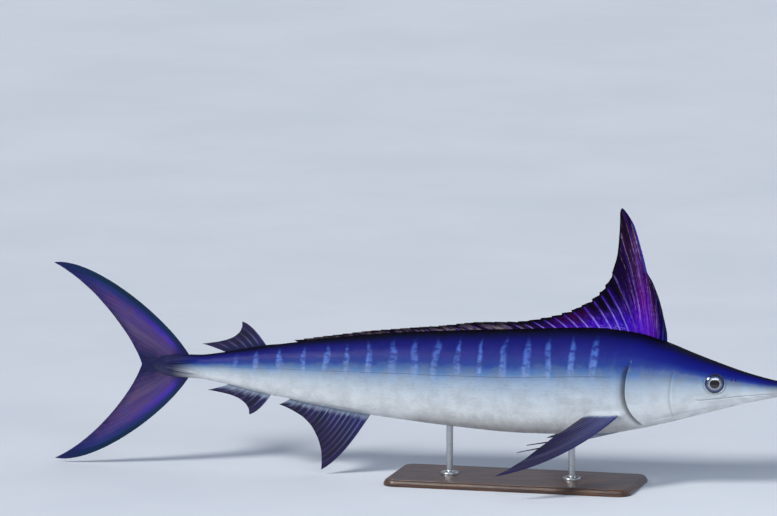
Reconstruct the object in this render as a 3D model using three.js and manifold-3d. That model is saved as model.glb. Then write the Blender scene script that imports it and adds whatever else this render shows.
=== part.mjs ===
// A life-size striped marlin, swimming level with its first dorsal fin raised, on a plain display stand.
// Millimetres, +Z up. The head points to +X and the fish's left side to +Y. The origin lies under the
// middle of the model, on the surface that the stand rests on.
import * as THREE from "three";
import { mergeVertices } from "three/addons/utils/BufferGeometryUtils.js";
import Module from "manifold-3d";

const wasm = await Module();
wasm.setup();

// Driving dimensions. bodyLength runs from the tip of the lower jaw to the fork of the tail. Unless a
// name says mm, sizes and places on the fish are shares of it, "at" counts from the lower jaw's tip
// towards the tail, and heights count from the level line through the bill and the tail.
const bodyLength = 2200;
const touchGapMm = 0.3;
const floorClearanceMm = 15;

// The body's outline: at, top, bottom, half the width.
const bodyStations = [
  [-0.225, 0.0084, 0.0076, 0.0005],
  [-0.2, 0.0097, 0.0063, 0.0021],
  [-0.12, 0.0107, 0.0047, 0.004],
  [-0.04, 0.0112, 0.0028, 0.0056],
  [0, 0.0118, 0.0012, 0.0068],
  [0.04, 0.0172, -0.0085, 0.0108],
  [0.08, 0.0262, -0.0182, 0.0168],
  [0.124, 0.0395, -0.0305, 0.0275],
  [0.165, 0.0535, -0.0425, 0.0358],
  [0.202, 0.067, -0.053, 0.041],
  [0.25, 0.08, -0.065, 0.045],
  [0.305, 0.0862, -0.0742, 0.0472],
  [0.42, 0.081, -0.0775, 0.046],
  [0.52, 0.0745, -0.0725, 0.042],
  [0.62, 0.066, -0.0635, 0.036],
  [0.72, 0.0515, -0.0505, 0.0285],
  [0.8, 0.037, -0.0375, 0.0208],
  [0.87, 0.0238, -0.0242, 0.0138],
  [0.915, 0.0176, -0.018, 0.0105],
  [0.945, 0.0172, -0.0174, 0.0078],
  [0.965, 0.0155, -0.0157, 0.0042],
];
const widestLevels = [
  [-0.225, 0.5],
  [0.124, 0.58],
  [0.25, 0.54],
  [0.965, 0.5],
];
const backPower = 1.85;
const bellyPower = 2.05;
// Where the rings of the skin stand, by their number: closest on the head.
const bodyRings = [[0, -0.225], [6, -0.01], [18, 0.21], [31, 0.74], [39, 0.965]];
const ringPoints = 32;

// Cuts that part the body.
const billRoot = 0.088;
const mouthCorner = 0.148;
const mouthCornerLevel = -0.013;
const mouthSlitMm = 1.2;
const lips = { from: 0.012, proudMm: 1.8, lowerMm: 6, upperMm: 5, jawboneMm: 15 };
const jawHinge = 0.172;
const gillOpening = 0.2545;
const chestEnd = 0.5;
const tailStemStart = 0.8;

const gillCover = {
  at: 0.2165,
  level: -0.004,
  halfLength: 0.037,
  halfHeight: 0.05,
  power: 2.6,
  slant: 0.14,
  thickMm: 8,
  flareMm: 4,
};
const eye = { at: 0.124, level: 0.0125, radiiMm: [36, 32.5, 14], sunkMm: 7, rimMm: 6, rimProudMm: 1.9 };
const nostrils = { places: [[0.094, 0.0172], [0.0995, 0.0178]], radiiMm: [4, 4, 2.8] };
const keel = {
  at: 0.938,
  level: 0.0066,
  halfLength: 0.019,
  reachMm: 14,
  halfThickMm: 3.6,
  outMm: 15,
  tiltDeg: 6,
};

// The first dorsal fin, by the number of the ray: where it stands, its length and its lean from upright.
const dorsalRays = 40;
const dorsalPlaces = [[0, 0.202], [8, 0.265], [39, 0.755]];
const dorsalLengths = [
  [0, 0.033],
  [2, 0.102],
  [3.6, 0.177],
  [4, 0.1925],
  [4.4, 0.18],
  [6, 0.12],
  [8, 0.0765],
  [10, 0.0457],
  [13, 0.035],
  [24, 0.027],
  [39, 0.012],
];
const dorsalLeans = [[0, 5], [4, 11.5], [6, 14], [8, 25], [10, 37], [12, 52], [16, 73], [39, 80]];
const dorsalNotch = { firstRay: 4.5, fullRay: 6.5, depthMm: 8, rearDepthMm: 4 };
const dorsalBow = 0.035;

// Fins drawn in side view by their leading edge and their trailing edge, each as the four points of a
// cubic curve, from the root's front to the tip, and from the tip to the last ray's end.
const tailFin = {
  rays: 12,
  rows: 6,
  leading: [[0.928, 0.0165], [0.965, 0.075], [1.077, 0.158], [1.1353, 0.1474]],
  trailing: [[1.1353, 0.1474], [1.085, 0.125], [1.02, 0.055], [1, 0.0004]],
  rootRear: [0.952, 0.0004],
  edgeHalfMm: 8,
};
const secondDorsal = {
  rays: 7,
  rows: 4,
  leading: [[0.803, 0.026], [0.818, 0.05], [0.832, 0.067], [0.846, 0.0705]],
  trailing: [[0.846, 0.0705], [0.845, 0.05], [0.862, 0.04], [0.908, 0.0345]],
  rootRear: [0.858, 0.018],
  edgeHalfMm: 3,
};
const firstAnal = {
  rays: 12,
  rows: 5,
  leading: [[0.645, -0.052], [0.668, -0.088], [0.695, -0.13], [0.726, -0.147]],
  trailing: [[0.726, -0.147], [0.722, -0.1], [0.738, -0.068], [0.79, -0.0515]],
  rootRear: [0.76, -0.035],
  edgeHalfMm: 5,
};
const secondAnal = {
  rays: 7,
  rows: 4,
  leading: [[0.795, -0.026], [0.808, -0.048], [0.822, -0.065], [0.836, -0.069]],
  trailing: [[0.836, -0.069], [0.836, -0.049], [0.852, -0.04], [0.9, -0.0345]],
  rootRear: [0.85, -0.018],
  edgeHalfMm: 3,
};

// The pectoral fin is drawn the same way, but outwards and backwards in its own plane.
const pectoral = {
  rays: 11,
  rows: 5,
  leading: [[-0.012, -0.002], [0.065, -0.008], [0.15, 0.012], [0.205, 0.06]],
  trailing: [[0.205, 0.06], [0.155, 0.045], [0.062, 0.048], [-0.012, 0.034]],
  rootRear: [-0.012, 0.034],
  edgeHalfMm: 6,
  at: 0.268,
  level: -0.0385,
  reach: [-0.5, 0.74, -0.45],
};
const pelvic = {
  at: 0.272,
  outMm: 14,
  sunkMm: 6,
  lengthMm: 345,
  rootHalfWidthMm: 5.5,
  rootHalfThickMm: 3,
  tipShare: 0.22,
  splayDeg: 9,
  droopDeg: 15,
  sagMm: 10,
};

const stand = {
  lengthMm: 820,
  widthMm: 320,
  thickMm: 22,
  cornerMm: 40,
  edgeMm: 4,
  middleAt: 0.43,
  rodPlaces: [0.345, 0.53],
  rodRadiusMm: 11,
  collarRadiusMm: 30,
  collarHeightMm: 9,
};

// A smooth function through [x, y] points that doesn't overshoot them.
function curveThrough(points) {
  const last = points.length - 1;
  const slopes = [];
  for (let i = 0; i < last; i++) {
    slopes.push((points[i + 1][1] - points[i][1]) / (points[i + 1][0] - points[i][0]));
  }
  const tangents = points.map((point, i) => {
    if (i === 0) return slopes[0];
    if (i === last) return slopes[last - 1];
    const product = slopes[i - 1] * slopes[i];
    return product <= 0 ? 0 : (2 * product) / (slopes[i - 1] + slopes[i]);
  });
  return (x) => {
    let i = 0;
    while (i < last - 1 && x > points[i + 1][0]) i++;
    const span = points[i + 1][0] - points[i][0];
    const t = THREE.MathUtils.clamp((x - points[i][0]) / span, 0, 1);
    const fromStart = (1 + 2 * t) * (1 - t) ** 2 * points[i][1] + t * (1 - t) ** 2 * span * tangents[i];
    const fromEnd = t * t * (3 - 2 * t) * points[i + 1][1] - t * t * (1 - t) * span * tangents[i + 1];
    return fromStart + fromEnd;
  };
}

const topOf = curveThrough(bodyStations.map(([at, top]) => [at, top]));
const bottomOf = curveThrough(bodyStations.map(([at, , bottom]) => [at, bottom]));
const halfWidthOf = curveThrough(bodyStations.map(([at, , , half]) => [at, half]));
const widestShareOf = curveThrough(widestLevels);

// Solids as closed triangle meshes.
function solidFrom(points, faces) {
  const vertProperties = new Float32Array(points.flatMap((p) => [p.x, p.y, p.z]));
  const build = (list) => {
    const triVerts = new Uint32Array(list.flat());
    return new wasm.Manifold(new wasm.Mesh({ numProp: 3, vertProperties, triVerts }));
  };
  const made = build(faces);
  return made.volume() > 0 ? made : build(faces.map(([a, b, c]) => [a, c, b]));
}

function solidOf(geometry) {
  const bare = new THREE.BufferGeometry();
  const source = geometry.index ? geometry.toNonIndexed() : geometry;
  bare.setAttribute("position", source.getAttribute("position"));
  const merged = mergeVertices(bare, 1e-3);
  const place = merged.getAttribute("position");
  const points = [];
  for (let i = 0; i < place.count; i++) points.push(new THREE.Vector3().fromBufferAttribute(place, i));
  const faces = [];
  for (let i = 0; i < merged.index.count; i += 3) faces.push([...merged.index.array.slice(i, i + 3)]);
  return solidFrom(points, faces.filter(([a, b, c]) => a !== b && b !== c && a !== c));
}

function largestOf(solid) {
  return solid.decompose().reduce((best, next) => (next.volume() > best.volume() ? next : best));
}

function meshOf(name, solid, material) {
  const { vertProperties, triVerts } = largestOf(solid).getMesh();
  const geometry = new THREE.BufferGeometry();
  geometry.setAttribute("position", new THREE.BufferAttribute(vertProperties, 3));
  geometry.setIndex(new THREE.BufferAttribute(triVerts, 1));
  geometry.computeVertexNormals();
  const mesh = new THREE.Mesh(geometry, material);
  mesh.name = name;
  return mesh;
}

// A closed skin over rings of points, with each end closed round its middle.
function loft(rings) {
  const count = rings[0].length;
  const points = rings.flat();
  const faces = [];
  for (let i = 0; i < rings.length - 1; i++) {
    for (let k = 0; k < count; k++) {
      const a = i * count + k;
      const b = i * count + ((k + 1) % count);
      faces.push([a, b, b + count], [a, b + count, a + count]);
    }
  }
  for (const end of [0, rings.length - 1]) {
    const middle = new THREE.Vector3();
    rings[end].forEach((p) => middle.addScaledVector(p, 1 / count));
    points.push(middle);
    for (let k = 0; k < count; k++) {
      const a = end * count + k;
      const b = end * count + ((k + 1) % count);
      faces.push(end === 0 ? [b, a, points.length - 1] : [a, b, points.length - 1]);
    }
  }
  return solidFrom(points, faces);
}

// A side-view outline of [at, level] points, made a wall that reaches across the fish.
function sideWall(outline, fromMm = -300, toMm = 300) {
  const corners = outline.map(([at, level]) => new THREE.Vector2(-at * bodyLength, level * bodyLength));
  const shape = new THREE.Shape(corners);
  const geometry = new THREE.ExtrudeGeometry(shape, { depth: toMm - fromMm, bevelEnabled: false });
  geometry.rotateX(Math.PI / 2);
  geometry.translate(0, toMm, 0);
  return solidOf(geometry);
}

// Body. A turn of 0 is the left side and a quarter turn the back. growMm moves the skin out.
function skinPoint(at, turn, growMm = 0) {
  const across = Math.cos(turn);
  const up = Math.sin(turn);
  const top = topOf(at) * bodyLength;
  const bottom = bottomOf(at) * bodyLength;
  const level = bottom + (top - bottom) * widestShareOf(at);
  const reach = (up > 0 ? top - level : level - bottom) + growMm;
  const power = 2 / (up > 0 ? backPower : bellyPower);
  const y = (halfWidthOf(at) * bodyLength + growMm) * Math.sign(across) * Math.abs(across) ** power;
  const z = level + reach * Math.sign(up) * Math.abs(up) ** power;
  return new THREE.Vector3(-at * bodyLength, y, z);
}

// The whole body's skin, moved out by growMm, which may change along it.
function skinLoft(growMm) {
  const placeOf = curveThrough(bodyRings);
  const rings = [];
  for (let i = 0; i <= bodyRings.at(-1)[0]; i++) {
    const at = placeOf(i);
    const ring = [];
    for (let k = 0; k < ringPoints; k++) {
      ring.push(skinPoint(at, (2 * Math.PI * k) / ringPoints, growMm(at)));
    }
    rings.push(ring);
  }
  return loft(rings);
}

function ellipsoid(radii, matrix, around, down) {
  const geometry = new THREE.SphereGeometry(1, around, down);
  geometry.rotateX(Math.PI / 2);
  geometry.scale(...radii);
  geometry.applyMatrix4(matrix);
  return solidOf(geometry);
}

// Two keels on each side of the tail's root.
function keels(growMm) {
  const solids = [];
  for (const side of [-1, 1]) {
    for (const upper of [-1, 1]) {
      const matrix = new THREE.Matrix4().makeRotationY(-upper * THREE.MathUtils.degToRad(keel.tiltDeg));
      matrix.setPosition(-keel.at * bodyLength, side * keel.outMm, upper * keel.level * bodyLength);
      const radii = [keel.halfLength * bodyLength, keel.reachMm, keel.halfThickMm].map((r) => r + growMm);
      solids.push(ellipsoid(radii, matrix, 14, 6));
    }
  }
  return solids;
}

function flesh(growMm) {
  return wasm.Manifold.union([skinLoft(() => growMm), ...keels(growMm)]);
}

// The place and the outward direction on the left side of the body, at a level.
function sideSpot(at, level) {
  let low = -Math.PI / 2;
  let high = Math.PI / 2;
  for (let i = 0; i < 30; i++) {
    const middle = (low + high) / 2;
    if (skinPoint(at, middle).z < level * bodyLength) low = middle;
    else high = middle;
  }
  const step = 1e-3;
  const point = skinPoint(at, low);
  const along = skinPoint(at + step, low).sub(point);
  const round = skinPoint(at, low + step).sub(point);
  const normal = along.cross(round).normalize();
  return { point, normal: normal.y > 0 ? normal : normal.negate() };
}

const mirrored = (vector) => new THREE.Vector3(vector.x, -vector.y, vector.z);

function eyeball(side, growMm) {
  const spot = sideSpot(eye.at, eye.level);
  const middle = spot.point.clone().addScaledVector(spot.normal, -eye.sunkMm);
  const normal = side > 0 ? spot.normal : mirrored(spot.normal);
  const turn = new THREE.Quaternion().setFromUnitVectors(new THREE.Vector3(0, 0, 1), normal);
  const matrix = new THREE.Matrix4().makeRotationFromQuaternion(turn);
  matrix.setPosition(side > 0 ? middle : mirrored(middle));
  return ellipsoid(eye.radiiMm.map((r) => r + growMm), matrix, 20, 8);
}

function nostrilPits() {
  const pits = [];
  for (const [at, level] of nostrils.places) {
    const { point } = sideSpot(at, level);
    for (const place of [point, mirrored(point)]) {
      pits.push(ellipsoid(nostrils.radiiMm, new THREE.Matrix4().setPosition(place), 8, 4));
    }
  }
  return pits;
}

// A closed side-view outline, from an oval at a power of 2 towards a box at higher ones.
function roundOutline({ at, level, halfLength, halfHeight, power = 2, slant = 0 }, growMm, count) {
  const grow = growMm / bodyLength;
  const outline = [];
  for (let k = 0; k < count; k++) {
    const turn = (2 * Math.PI * k) / count;
    const along = Math.sign(Math.cos(turn)) * Math.abs(Math.cos(turn)) ** (2 / power);
    const up = Math.sign(Math.sin(turn)) * Math.abs(Math.sin(turn)) ** (2 / power) * (halfHeight + grow);
    outline.push([at + (halfLength + grow) * along + slant * up, level + up]);
  }
  return outline;
}

// A raised rim round each eye, and the lips, which widen into the jawbone behind.
function raisedSkin() {
  const [along, up] = eye.radiiMm.map((r) => r / bodyLength);
  const socket = { at: eye.at, level: eye.level, halfLength: along, halfHeight: up };
  const rim = roundOutline(socket, eye.rimMm, 20);
  const upperLip = mouthLine(0, lips.from).map(([at, level]) => {
    const widening = THREE.MathUtils.smoothstep(at, 0.09, mouthCorner);
    return [at, level + THREE.MathUtils.lerp(lips.upperMm, lips.jawboneMm, widening) / bodyLength];
  });
  const corner = [mouthCorner + lips.upperMm / bodyLength, mouthCornerLevel];
  const lowerLip = mouthLine(-lips.lowerMm, lips.from).reverse();
  return [
    skinLoft(() => eye.rimProudMm).intersect(sideWall(rim)),
    skinLoft(() => lips.proudMm).intersect(sideWall([...upperLip, corner, ...lowerLip])),
  ];
}

// The gill cover is a plate let into the side, with its rear edge standing free.

function gillWall(side, growMm) {
  const outline = roundOutline(gillCover, growMm, 32);
  const inner = 20;
  const outer = 300;
  return side > 0 ? sideWall(outline, inner, outer) : sideWall(outline, -outer, -inner);
}

function gillPlate(side) {
  const front = gillCover.at - gillCover.halfLength;
  const rear = gillCover.at + gillCover.halfLength;
  const flare = (at) => gillCover.flareMm * THREE.MathUtils.smoothstep(at, front, rear);
  const outside = skinLoft(flare);
  const inside = skinLoft(() => -gillCover.thickMm);
  return outside.intersect(gillWall(side, 0)).subtract(inside);
}

function gillPockets() {
  const inside = skinLoft(() => -gillCover.thickMm - touchGapMm);
  return [-1, 1].map((side) => gillWall(side, touchGapMm).subtract(inside));
}

// Side-view lines that part the body, each as a list of [at, level].
const farLevel = 0.3;
function gillLine(shiftMm) {
  const line = [];
  for (let level = farLevel; level >= -farLevel; level -= 0.0125) {
    const fromMiddle = level + 0.005;
    const bend = fromMiddle > 0 ? 3.3 : 8;
    line.push([Math.max(gillOpening - bend * fromMiddle ** 2, 0.19) + shiftMm / bodyLength, level]);
  }
  return line;
}

function uprightLine(at, shiftMm) {
  return [[at + shiftMm / bodyLength, farLevel], [at + shiftMm / bodyLength, -farLevel]];
}

// The mouth runs level under the bill and drops towards its corner.
function mouthLine(shiftMm, from) {
  const line = [];
  const start = bottomOf(0);
  const steps = 14;
  for (let i = 0; i <= steps; i++) {
    const at = from + ((mouthCorner - from) * i) / steps;
    const share = Math.max(at, 0) / mouthCorner;
    line.push([at, start + (mouthCornerLevel - start) * share ** 1.2 + shiftMm / bodyLength]);
  }
  return line;
}

function between(frontLine, rearLine) {
  return sideWall([...frontLine, ...[...rearLine].reverse()]);
}

const halfGap = touchGapMm / 2;
const halfSlit = mouthSlitMm / 2;
const jawRear = (shiftMm) => [jawHinge + shiftMm / bodyLength, -0.2];

function fleshNodes(materials) {
  const sockets = [-1, 1].map((side) => eyeball(side, touchGapMm));
  const cuts = wasm.Manifold.union([...sockets, ...nostrilPits(), ...gillPockets()]);
  const whole = wasm.Manifold.union([flesh(0), ...raisedSkin()]).subtract(cuts);
  const jaw = sideWall([...mouthLine(-halfSlit, -0.001), jawRear(-halfGap), [-0.001, -0.2]]);
  const jawRoom = sideWall([...mouthLine(halfSlit, -0.02), jawRear(halfGap), [-0.02, -0.2]]);
  const upperHead = whole.subtract(jawRoom);
  const chestLine = (shiftMm) => uprightLine(chestEnd, shiftMm);
  const nodes = {
    bill: upperHead.intersect(between(uprightLine(-0.3, 0), uprightLine(billRoot, -halfGap))),
    lower_jaw: whole.intersect(jaw),
    head: upperHead.intersect(between(uprightLine(billRoot, halfGap), gillLine(-halfGap))),
    torso_front: whole.intersect(between(gillLine(halfGap), chestLine(-halfGap))),
    torso_rear: whole.intersect(between(chestLine(halfGap), uprightLine(tailStemStart, -halfGap))),
    tail_stem: whole.intersect(between(uprightLine(tailStemStart, halfGap), uprightLine(1.2, 0))),
    gill_cover_left: gillPlate(1),
    gill_cover_right: gillPlate(-1),
  };
  return Object.entries(nodes).map(([name, solid]) => meshOf(name, solid, materials.skin));
}

// A fin is one thin closed sheet whose rays stand up from its web on both faces. path gives the middle
// of the sheet, for a share across the rays and a share from the root to the edge. normal is its side.
function ribbedSheet({ rays, rows, path, normal, rayHalfMm, webHalfMm, reach = () => 1 }) {
  const ribShare = 0.17;
  const columns = [];
  for (let ray = 0; ray < rays; ray++) {
    for (const step of [-ribShare, 0, ribShare]) {
      const place = ray + step;
      if (place >= 0 && place <= rays - 1) columns.push({ share: place / (rays - 1), onRay: step === 0 });
    }
  }
  const points = [];
  for (const face of [1, -1]) {
    for (const { share, onRay } of columns) {
      for (let row = 0; row <= rows; row++) {
        const out = (row / rows) * (onRay ? 1 : reach(share));
        const half = onRay ? rayHalfMm(share, out) : webHalfMm(share, out);
        points.push(path(share, out).addScaledVector(normal, face * half));
      }
    }
  }
  const perFace = columns.length * (rows + 1);
  const faces = [];
  const wall = (a, b) => faces.push([a, b, b + perFace], [a, b + perFace, a + perFace]);
  for (let i = 0; i < columns.length - 1; i++) {
    for (let row = 0; row < rows; row++) {
      const a = i * (rows + 1) + row;
      const b = a + rows + 1;
      faces.push([a, a + 1, b + 1], [a, b + 1, b]);
      const [c, d] = [a + perFace, b + perFace];
      faces.push([c, d + 1, c + 1], [c, d, d + 1]);
    }
    const root = i * (rows + 1);
    wall(root, root + rows + 1);
    wall(root + 2 * rows + 1, root + rows);
  }
  const lastRoot = (columns.length - 1) * (rows + 1);
  for (let row = 0; row < rows; row++) {
    wall(row + 1, row);
    wall(lastRoot + row, lastRoot + row + 1);
  }
  return solidFrom(points, faces);
}

// First dorsal fin: short rays stack up the leading edge, the fifth reaches the tip, and the rest fall
// away into the long low part, where they lie back.
function firstDorsal() {
  const placeOf = curveThrough(dorsalPlaces);
  const lengthOf = curveThrough(dorsalLengths);
  const leanOf = curveThrough(dorsalLeans);
  const sunkMm = 12;
  const rayNumber = (share) => share * (dorsalRays - 1);
  const path = (share, out) => {
    const ray = rayNumber(share);
    const at = placeOf(ray);
    const lengthMm = lengthOf(ray) * bodyLength;
    const lean = THREE.MathUtils.degToRad(leanOf(ray));
    const base = new THREE.Vector3(-at * bodyLength, 0, topOf(at) * bodyLength);
    const upward = new THREE.Vector3(-Math.sin(lean), 0, Math.cos(lean));
    const forward = new THREE.Vector3(Math.cos(lean), 0, Math.sin(lean));
    const tip = base.clone().addScaledVector(upward, lengthMm);
    const root = base.clone().setZ(base.z - sunkMm);
    const middle = root.clone().lerp(tip, 0.5).addScaledVector(forward, 2 * dorsalBow * lengthMm);
    return new THREE.QuadraticBezierCurve3(root, middle, tip).getPoint(out);
  };
  const reach = (share) => {
    const ray = rayNumber(share);
    const depth = THREE.MathUtils.lerp(dorsalNotch.depthMm, dorsalNotch.rearDepthMm, share);
    const deep = THREE.MathUtils.smoothstep(ray, dorsalNotch.firstRay, dorsalNotch.fullRay);
    return 1 - (deep * depth) / (lengthOf(ray) * bodyLength);
  };
  const front = (share) => Math.max(0, 1 - rayNumber(share) / 5);
  return ribbedSheet({
    rays: dorsalRays,
    rows: 4,
    path,
    normal: new THREE.Vector3(0, 1, 0),
    rayHalfMm: (share, out) => THREE.MathUtils.lerp(3 + (share > 0 ? 3 : 0.5) * front(share), 0.9, out),
    webHalfMm: (share, out) => THREE.MathUtils.lerp(1.2 + 3 * front(share), 0.6, out),
    reach,
  });
}

// A fin drawn by a leading and a trailing edge. Its rays fan from the root to the trailing edge, and
// each keeps some of the leading edge's bend. toSpace places a drawn [x, y] pair.
function drawnFin(fin, toSpace, normal) {
  const edgePoints = (list) => list.map(([x, y]) => new THREE.Vector2(x * bodyLength, y * bodyLength));
  const leading = new THREE.CubicBezierCurve(...edgePoints(fin.leading));
  const trailing = new THREE.CubicBezierCurve(...edgePoints(fin.trailing));
  const [rootFront] = edgePoints([fin.leading[0]]);
  const [rootRear] = edgePoints([fin.rootRear]);
  const chord = leading.v3.clone().sub(leading.v0);
  const aside = new THREE.Vector2(-chord.y, chord.x);
  const path = (share, out) => {
    const onLeading = leading.getPoint(out).sub(leading.v0);
    const along = onLeading.dot(chord) / chord.lengthSq();
    const bend = (onLeading.dot(aside) / chord.lengthSq()) * (1 - 0.75 * share);
    const root = rootFront.clone().lerp(rootRear, share);
    const ray = trailing.getPoint(share).sub(root);
    const rayAside = new THREE.Vector2(-ray.y, ray.x);
    return toSpace(root.addScaledVector(ray, along).addScaledVector(rayAside, bend));
  };
  const edge = (share) => (share > 0 ? (1 - share) ** 5 : 0.1);
  const halfMm = (rootMm, tipMm) => (share, out) =>
    THREE.MathUtils.lerp(rootMm + (fin.edgeHalfMm - rootMm) * edge(share), tipMm, out ** 1.3);
  return ribbedSheet({
    rays: fin.rays,
    rows: fin.rows,
    path,
    normal,
    rayHalfMm: halfMm(0.55 * fin.edgeHalfMm, 0.9),
    webHalfMm: halfMm(0.3 * fin.edgeHalfMm, 0.6),
  });
}

function uprightFin(fin, flip = 1) {
  const toSpace = (place) => new THREE.Vector3(-place.x, 0, flip * place.y);
  return drawnFin(fin, toSpace, new THREE.Vector3(0, 1, 0));
}

function pectoralFin(side) {
  const spot = sideSpot(pectoral.at, pectoral.level).point;
  const reach = new THREE.Vector3(...pectoral.reach).normalize();
  const back = new THREE.Vector3(-1, 0, 0);
  back.addScaledVector(reach, -back.dot(reach)).normalize();
  const handed = (vector) => (side > 0 ? vector : mirrored(vector));
  const normal = handed(reach.clone().cross(back));
  const toSpace = ({ x, y }) => handed(spot.clone().addScaledVector(reach, x).addScaledVector(back, y));
  return drawnFin(pectoral, toSpace, normal);
}

// A pelvic fin is one long, thin, tapering ray.
function pelvicFin(side) {
  const splay = THREE.MathUtils.degToRad(pelvic.splayDeg);
  const droop = THREE.MathUtils.degToRad(pelvic.droopDeg);
  const back = new THREE.Vector3(-Math.cos(droop), side * Math.sin(splay), -Math.sin(droop)).normalize();
  const wide = new THREE.Vector3(0, 0, 1).addScaledVector(back, -back.z).normalize();
  const thick = back.clone().cross(wide);
  const rootLevelMm = bottomOf(pelvic.at) * bodyLength + pelvic.sunkMm;
  const root = new THREE.Vector3(-pelvic.at * bodyLength, side * pelvic.outMm, rootLevelMm);
  const rings = [];
  const steps = 10;
  for (let i = 0; i <= steps; i++) {
    const t = i / steps;
    const size = THREE.MathUtils.lerp(1, pelvic.tipShare, t);
    const middle = root.clone().addScaledVector(back, t * pelvic.lengthMm);
    middle.z += pelvic.sagMm * t * t;
    const ring = [];
    for (let k = 0; k < 8; k++) {
      const turn = (2 * Math.PI * k) / 8;
      const point = middle.clone().addScaledVector(wide, pelvic.rootHalfWidthMm * size * Math.cos(turn));
      ring.push(point.addScaledVector(thick, pelvic.rootHalfThickMm * size * Math.sin(turn)));
    }
    rings.push(ring);
  }
  return loft(rings);
}

function finNodes(materials) {
  const body = flesh(touchGapMm);
  const fins = {
    dorsal_fin_first: firstDorsal(),
    dorsal_fin_second: uprightFin(secondDorsal),
    anal_fin_first: uprightFin(firstAnal),
    anal_fin_second: uprightFin(secondAnal),
    tail_fin_upper: uprightFin(tailFin),
    tail_fin_lower: uprightFin(tailFin, -1),
    pectoral_fin_left: pectoralFin(1),
    pectoral_fin_right: pectoralFin(-1),
    pelvic_fin_left: pelvicFin(1),
    pelvic_fin_right: pelvicFin(-1),
  };
  return Object.entries(fins).map(([name, solid]) => meshOf(name, solid.subtract(body), materials.fin));
}

// Stand: a flat base with rounded corners, and two rods that the belly rests on.
function standBase(material) {
  const halfLength = stand.lengthMm / 2 - stand.edgeMm;
  const halfWidth = stand.widthMm / 2 - stand.edgeMm;
  const shape = new THREE.Shape();
  [[1, 1], [-1, 1], [-1, -1], [1, -1]].forEach(([lengthwise, across], quarter) => {
    const x = lengthwise * (halfLength - stand.cornerMm);
    const y = across * (halfWidth - stand.cornerMm);
    shape.absarc(x, y, stand.cornerMm, (quarter * Math.PI) / 2, ((quarter + 1) * Math.PI) / 2);
  });
  const geometry = new THREE.ExtrudeGeometry(shape, {
    depth: stand.thickMm - 2 * stand.edgeMm,
    bevelThickness: stand.edgeMm,
    bevelSize: stand.edgeMm,
    bevelSegments: 1,
    curveSegments: 5,
  });
  geometry.translate(0, 0, stand.edgeMm);
  return meshOf("stand_base", solidOf(geometry), material);
}

function standRod(name, x, fish, body, material) {
  const foot = stand.thickMm + touchGapMm;
  const top = fish.position.z;
  const profile = [
    [0, foot],
    [stand.collarRadiusMm, foot],
    [stand.collarRadiusMm, foot + 0.6 * stand.collarHeightMm],
    [stand.collarRadiusMm - 4, foot + stand.collarHeightMm],
    [stand.rodRadiusMm, foot + stand.collarHeightMm],
    [stand.rodRadiusMm, top],
    [0, top],
  ].map(([r, z]) => new THREE.Vector2(r, z));
  const geometry = new THREE.LatheGeometry(profile, 20);
  geometry.rotateX(Math.PI / 2);
  geometry.translate(x, 0, 0);
  return meshOf(name, solidOf(geometry).subtract(body), material);
}

const materials = {
  skin: new THREE.MeshStandardMaterial({ color: 0x2a3488, roughness: 0.3, metalness: 0.15 }),
  fin: new THREE.MeshStandardMaterial({ color: 0x43208c, roughness: 0.35, metalness: 0.1 }),
  eye: new THREE.MeshStandardMaterial({ color: 0x0a0d1c, roughness: 0.06, metalness: 0 }),
  base: new THREE.MeshStandardMaterial({ color: 0x2b1d15, roughness: 0.4, metalness: 0 }),
  rod: new THREE.MeshStandardMaterial({ color: 0xb9bcc0, roughness: 0.3, metalness: 1 }),
};

const fish = new THREE.Group();
fish.add(...fleshNodes(materials), ...finNodes(materials));
fish.add(meshOf("eye_left", eyeball(1, 0), materials.eye));
fish.add(meshOf("eye_right", eyeball(-1, 0), materials.eye));
const extent = new THREE.Box3().setFromObject(fish);
fish.position.set(-(extent.min.x + extent.max.x) / 2, 0, floorClearanceMm - extent.min.z);

const standGroup = new THREE.Group();
const bodyInPlace = flesh(touchGapMm).translate([fish.position.x, 0, fish.position.z]);
const base = standBase(materials.base);
base.position.x = fish.position.x - stand.middleAt * bodyLength;
standGroup.add(base);
["stand_rod_front", "stand_rod_rear"].forEach((name, i) => {
  const x = fish.position.x - stand.rodPlaces[i] * bodyLength;
  standGroup.add(standRod(name, x, fish, bodyInPlace, materials.rod));
});

const marlin = new THREE.Group();
marlin.add(fish, standGroup);

export default marlin;
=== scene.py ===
import bpy
import math
import numpy as np
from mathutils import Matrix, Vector


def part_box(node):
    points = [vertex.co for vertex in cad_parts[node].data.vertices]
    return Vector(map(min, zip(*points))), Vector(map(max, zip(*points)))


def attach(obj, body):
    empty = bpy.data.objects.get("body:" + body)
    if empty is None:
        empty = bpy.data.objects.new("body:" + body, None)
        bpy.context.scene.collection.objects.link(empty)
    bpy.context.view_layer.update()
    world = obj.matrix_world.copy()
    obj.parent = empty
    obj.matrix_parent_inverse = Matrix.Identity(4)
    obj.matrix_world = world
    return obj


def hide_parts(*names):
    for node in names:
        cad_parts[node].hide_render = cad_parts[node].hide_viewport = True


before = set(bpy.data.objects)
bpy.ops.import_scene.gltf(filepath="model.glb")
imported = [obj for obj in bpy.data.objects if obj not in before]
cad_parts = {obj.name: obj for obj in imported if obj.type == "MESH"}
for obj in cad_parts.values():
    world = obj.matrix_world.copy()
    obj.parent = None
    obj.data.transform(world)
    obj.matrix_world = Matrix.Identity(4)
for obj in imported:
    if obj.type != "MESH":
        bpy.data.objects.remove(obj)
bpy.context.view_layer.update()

# The fish is measured in shares of its length, from the lower jaw's tip towards the tail, and up or
# down from the level line through its bill and tail.
fish = {
    "length": 2.2,
    "billReach": 0.225,
    "axisHeight": (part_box("tail_fin_upper")[1][2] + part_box("tail_fin_lower")[0][2]) / 2,
}
fish["jawTipX"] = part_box("bill")[1][0] - fish["billReach"] * fish["length"]
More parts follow.
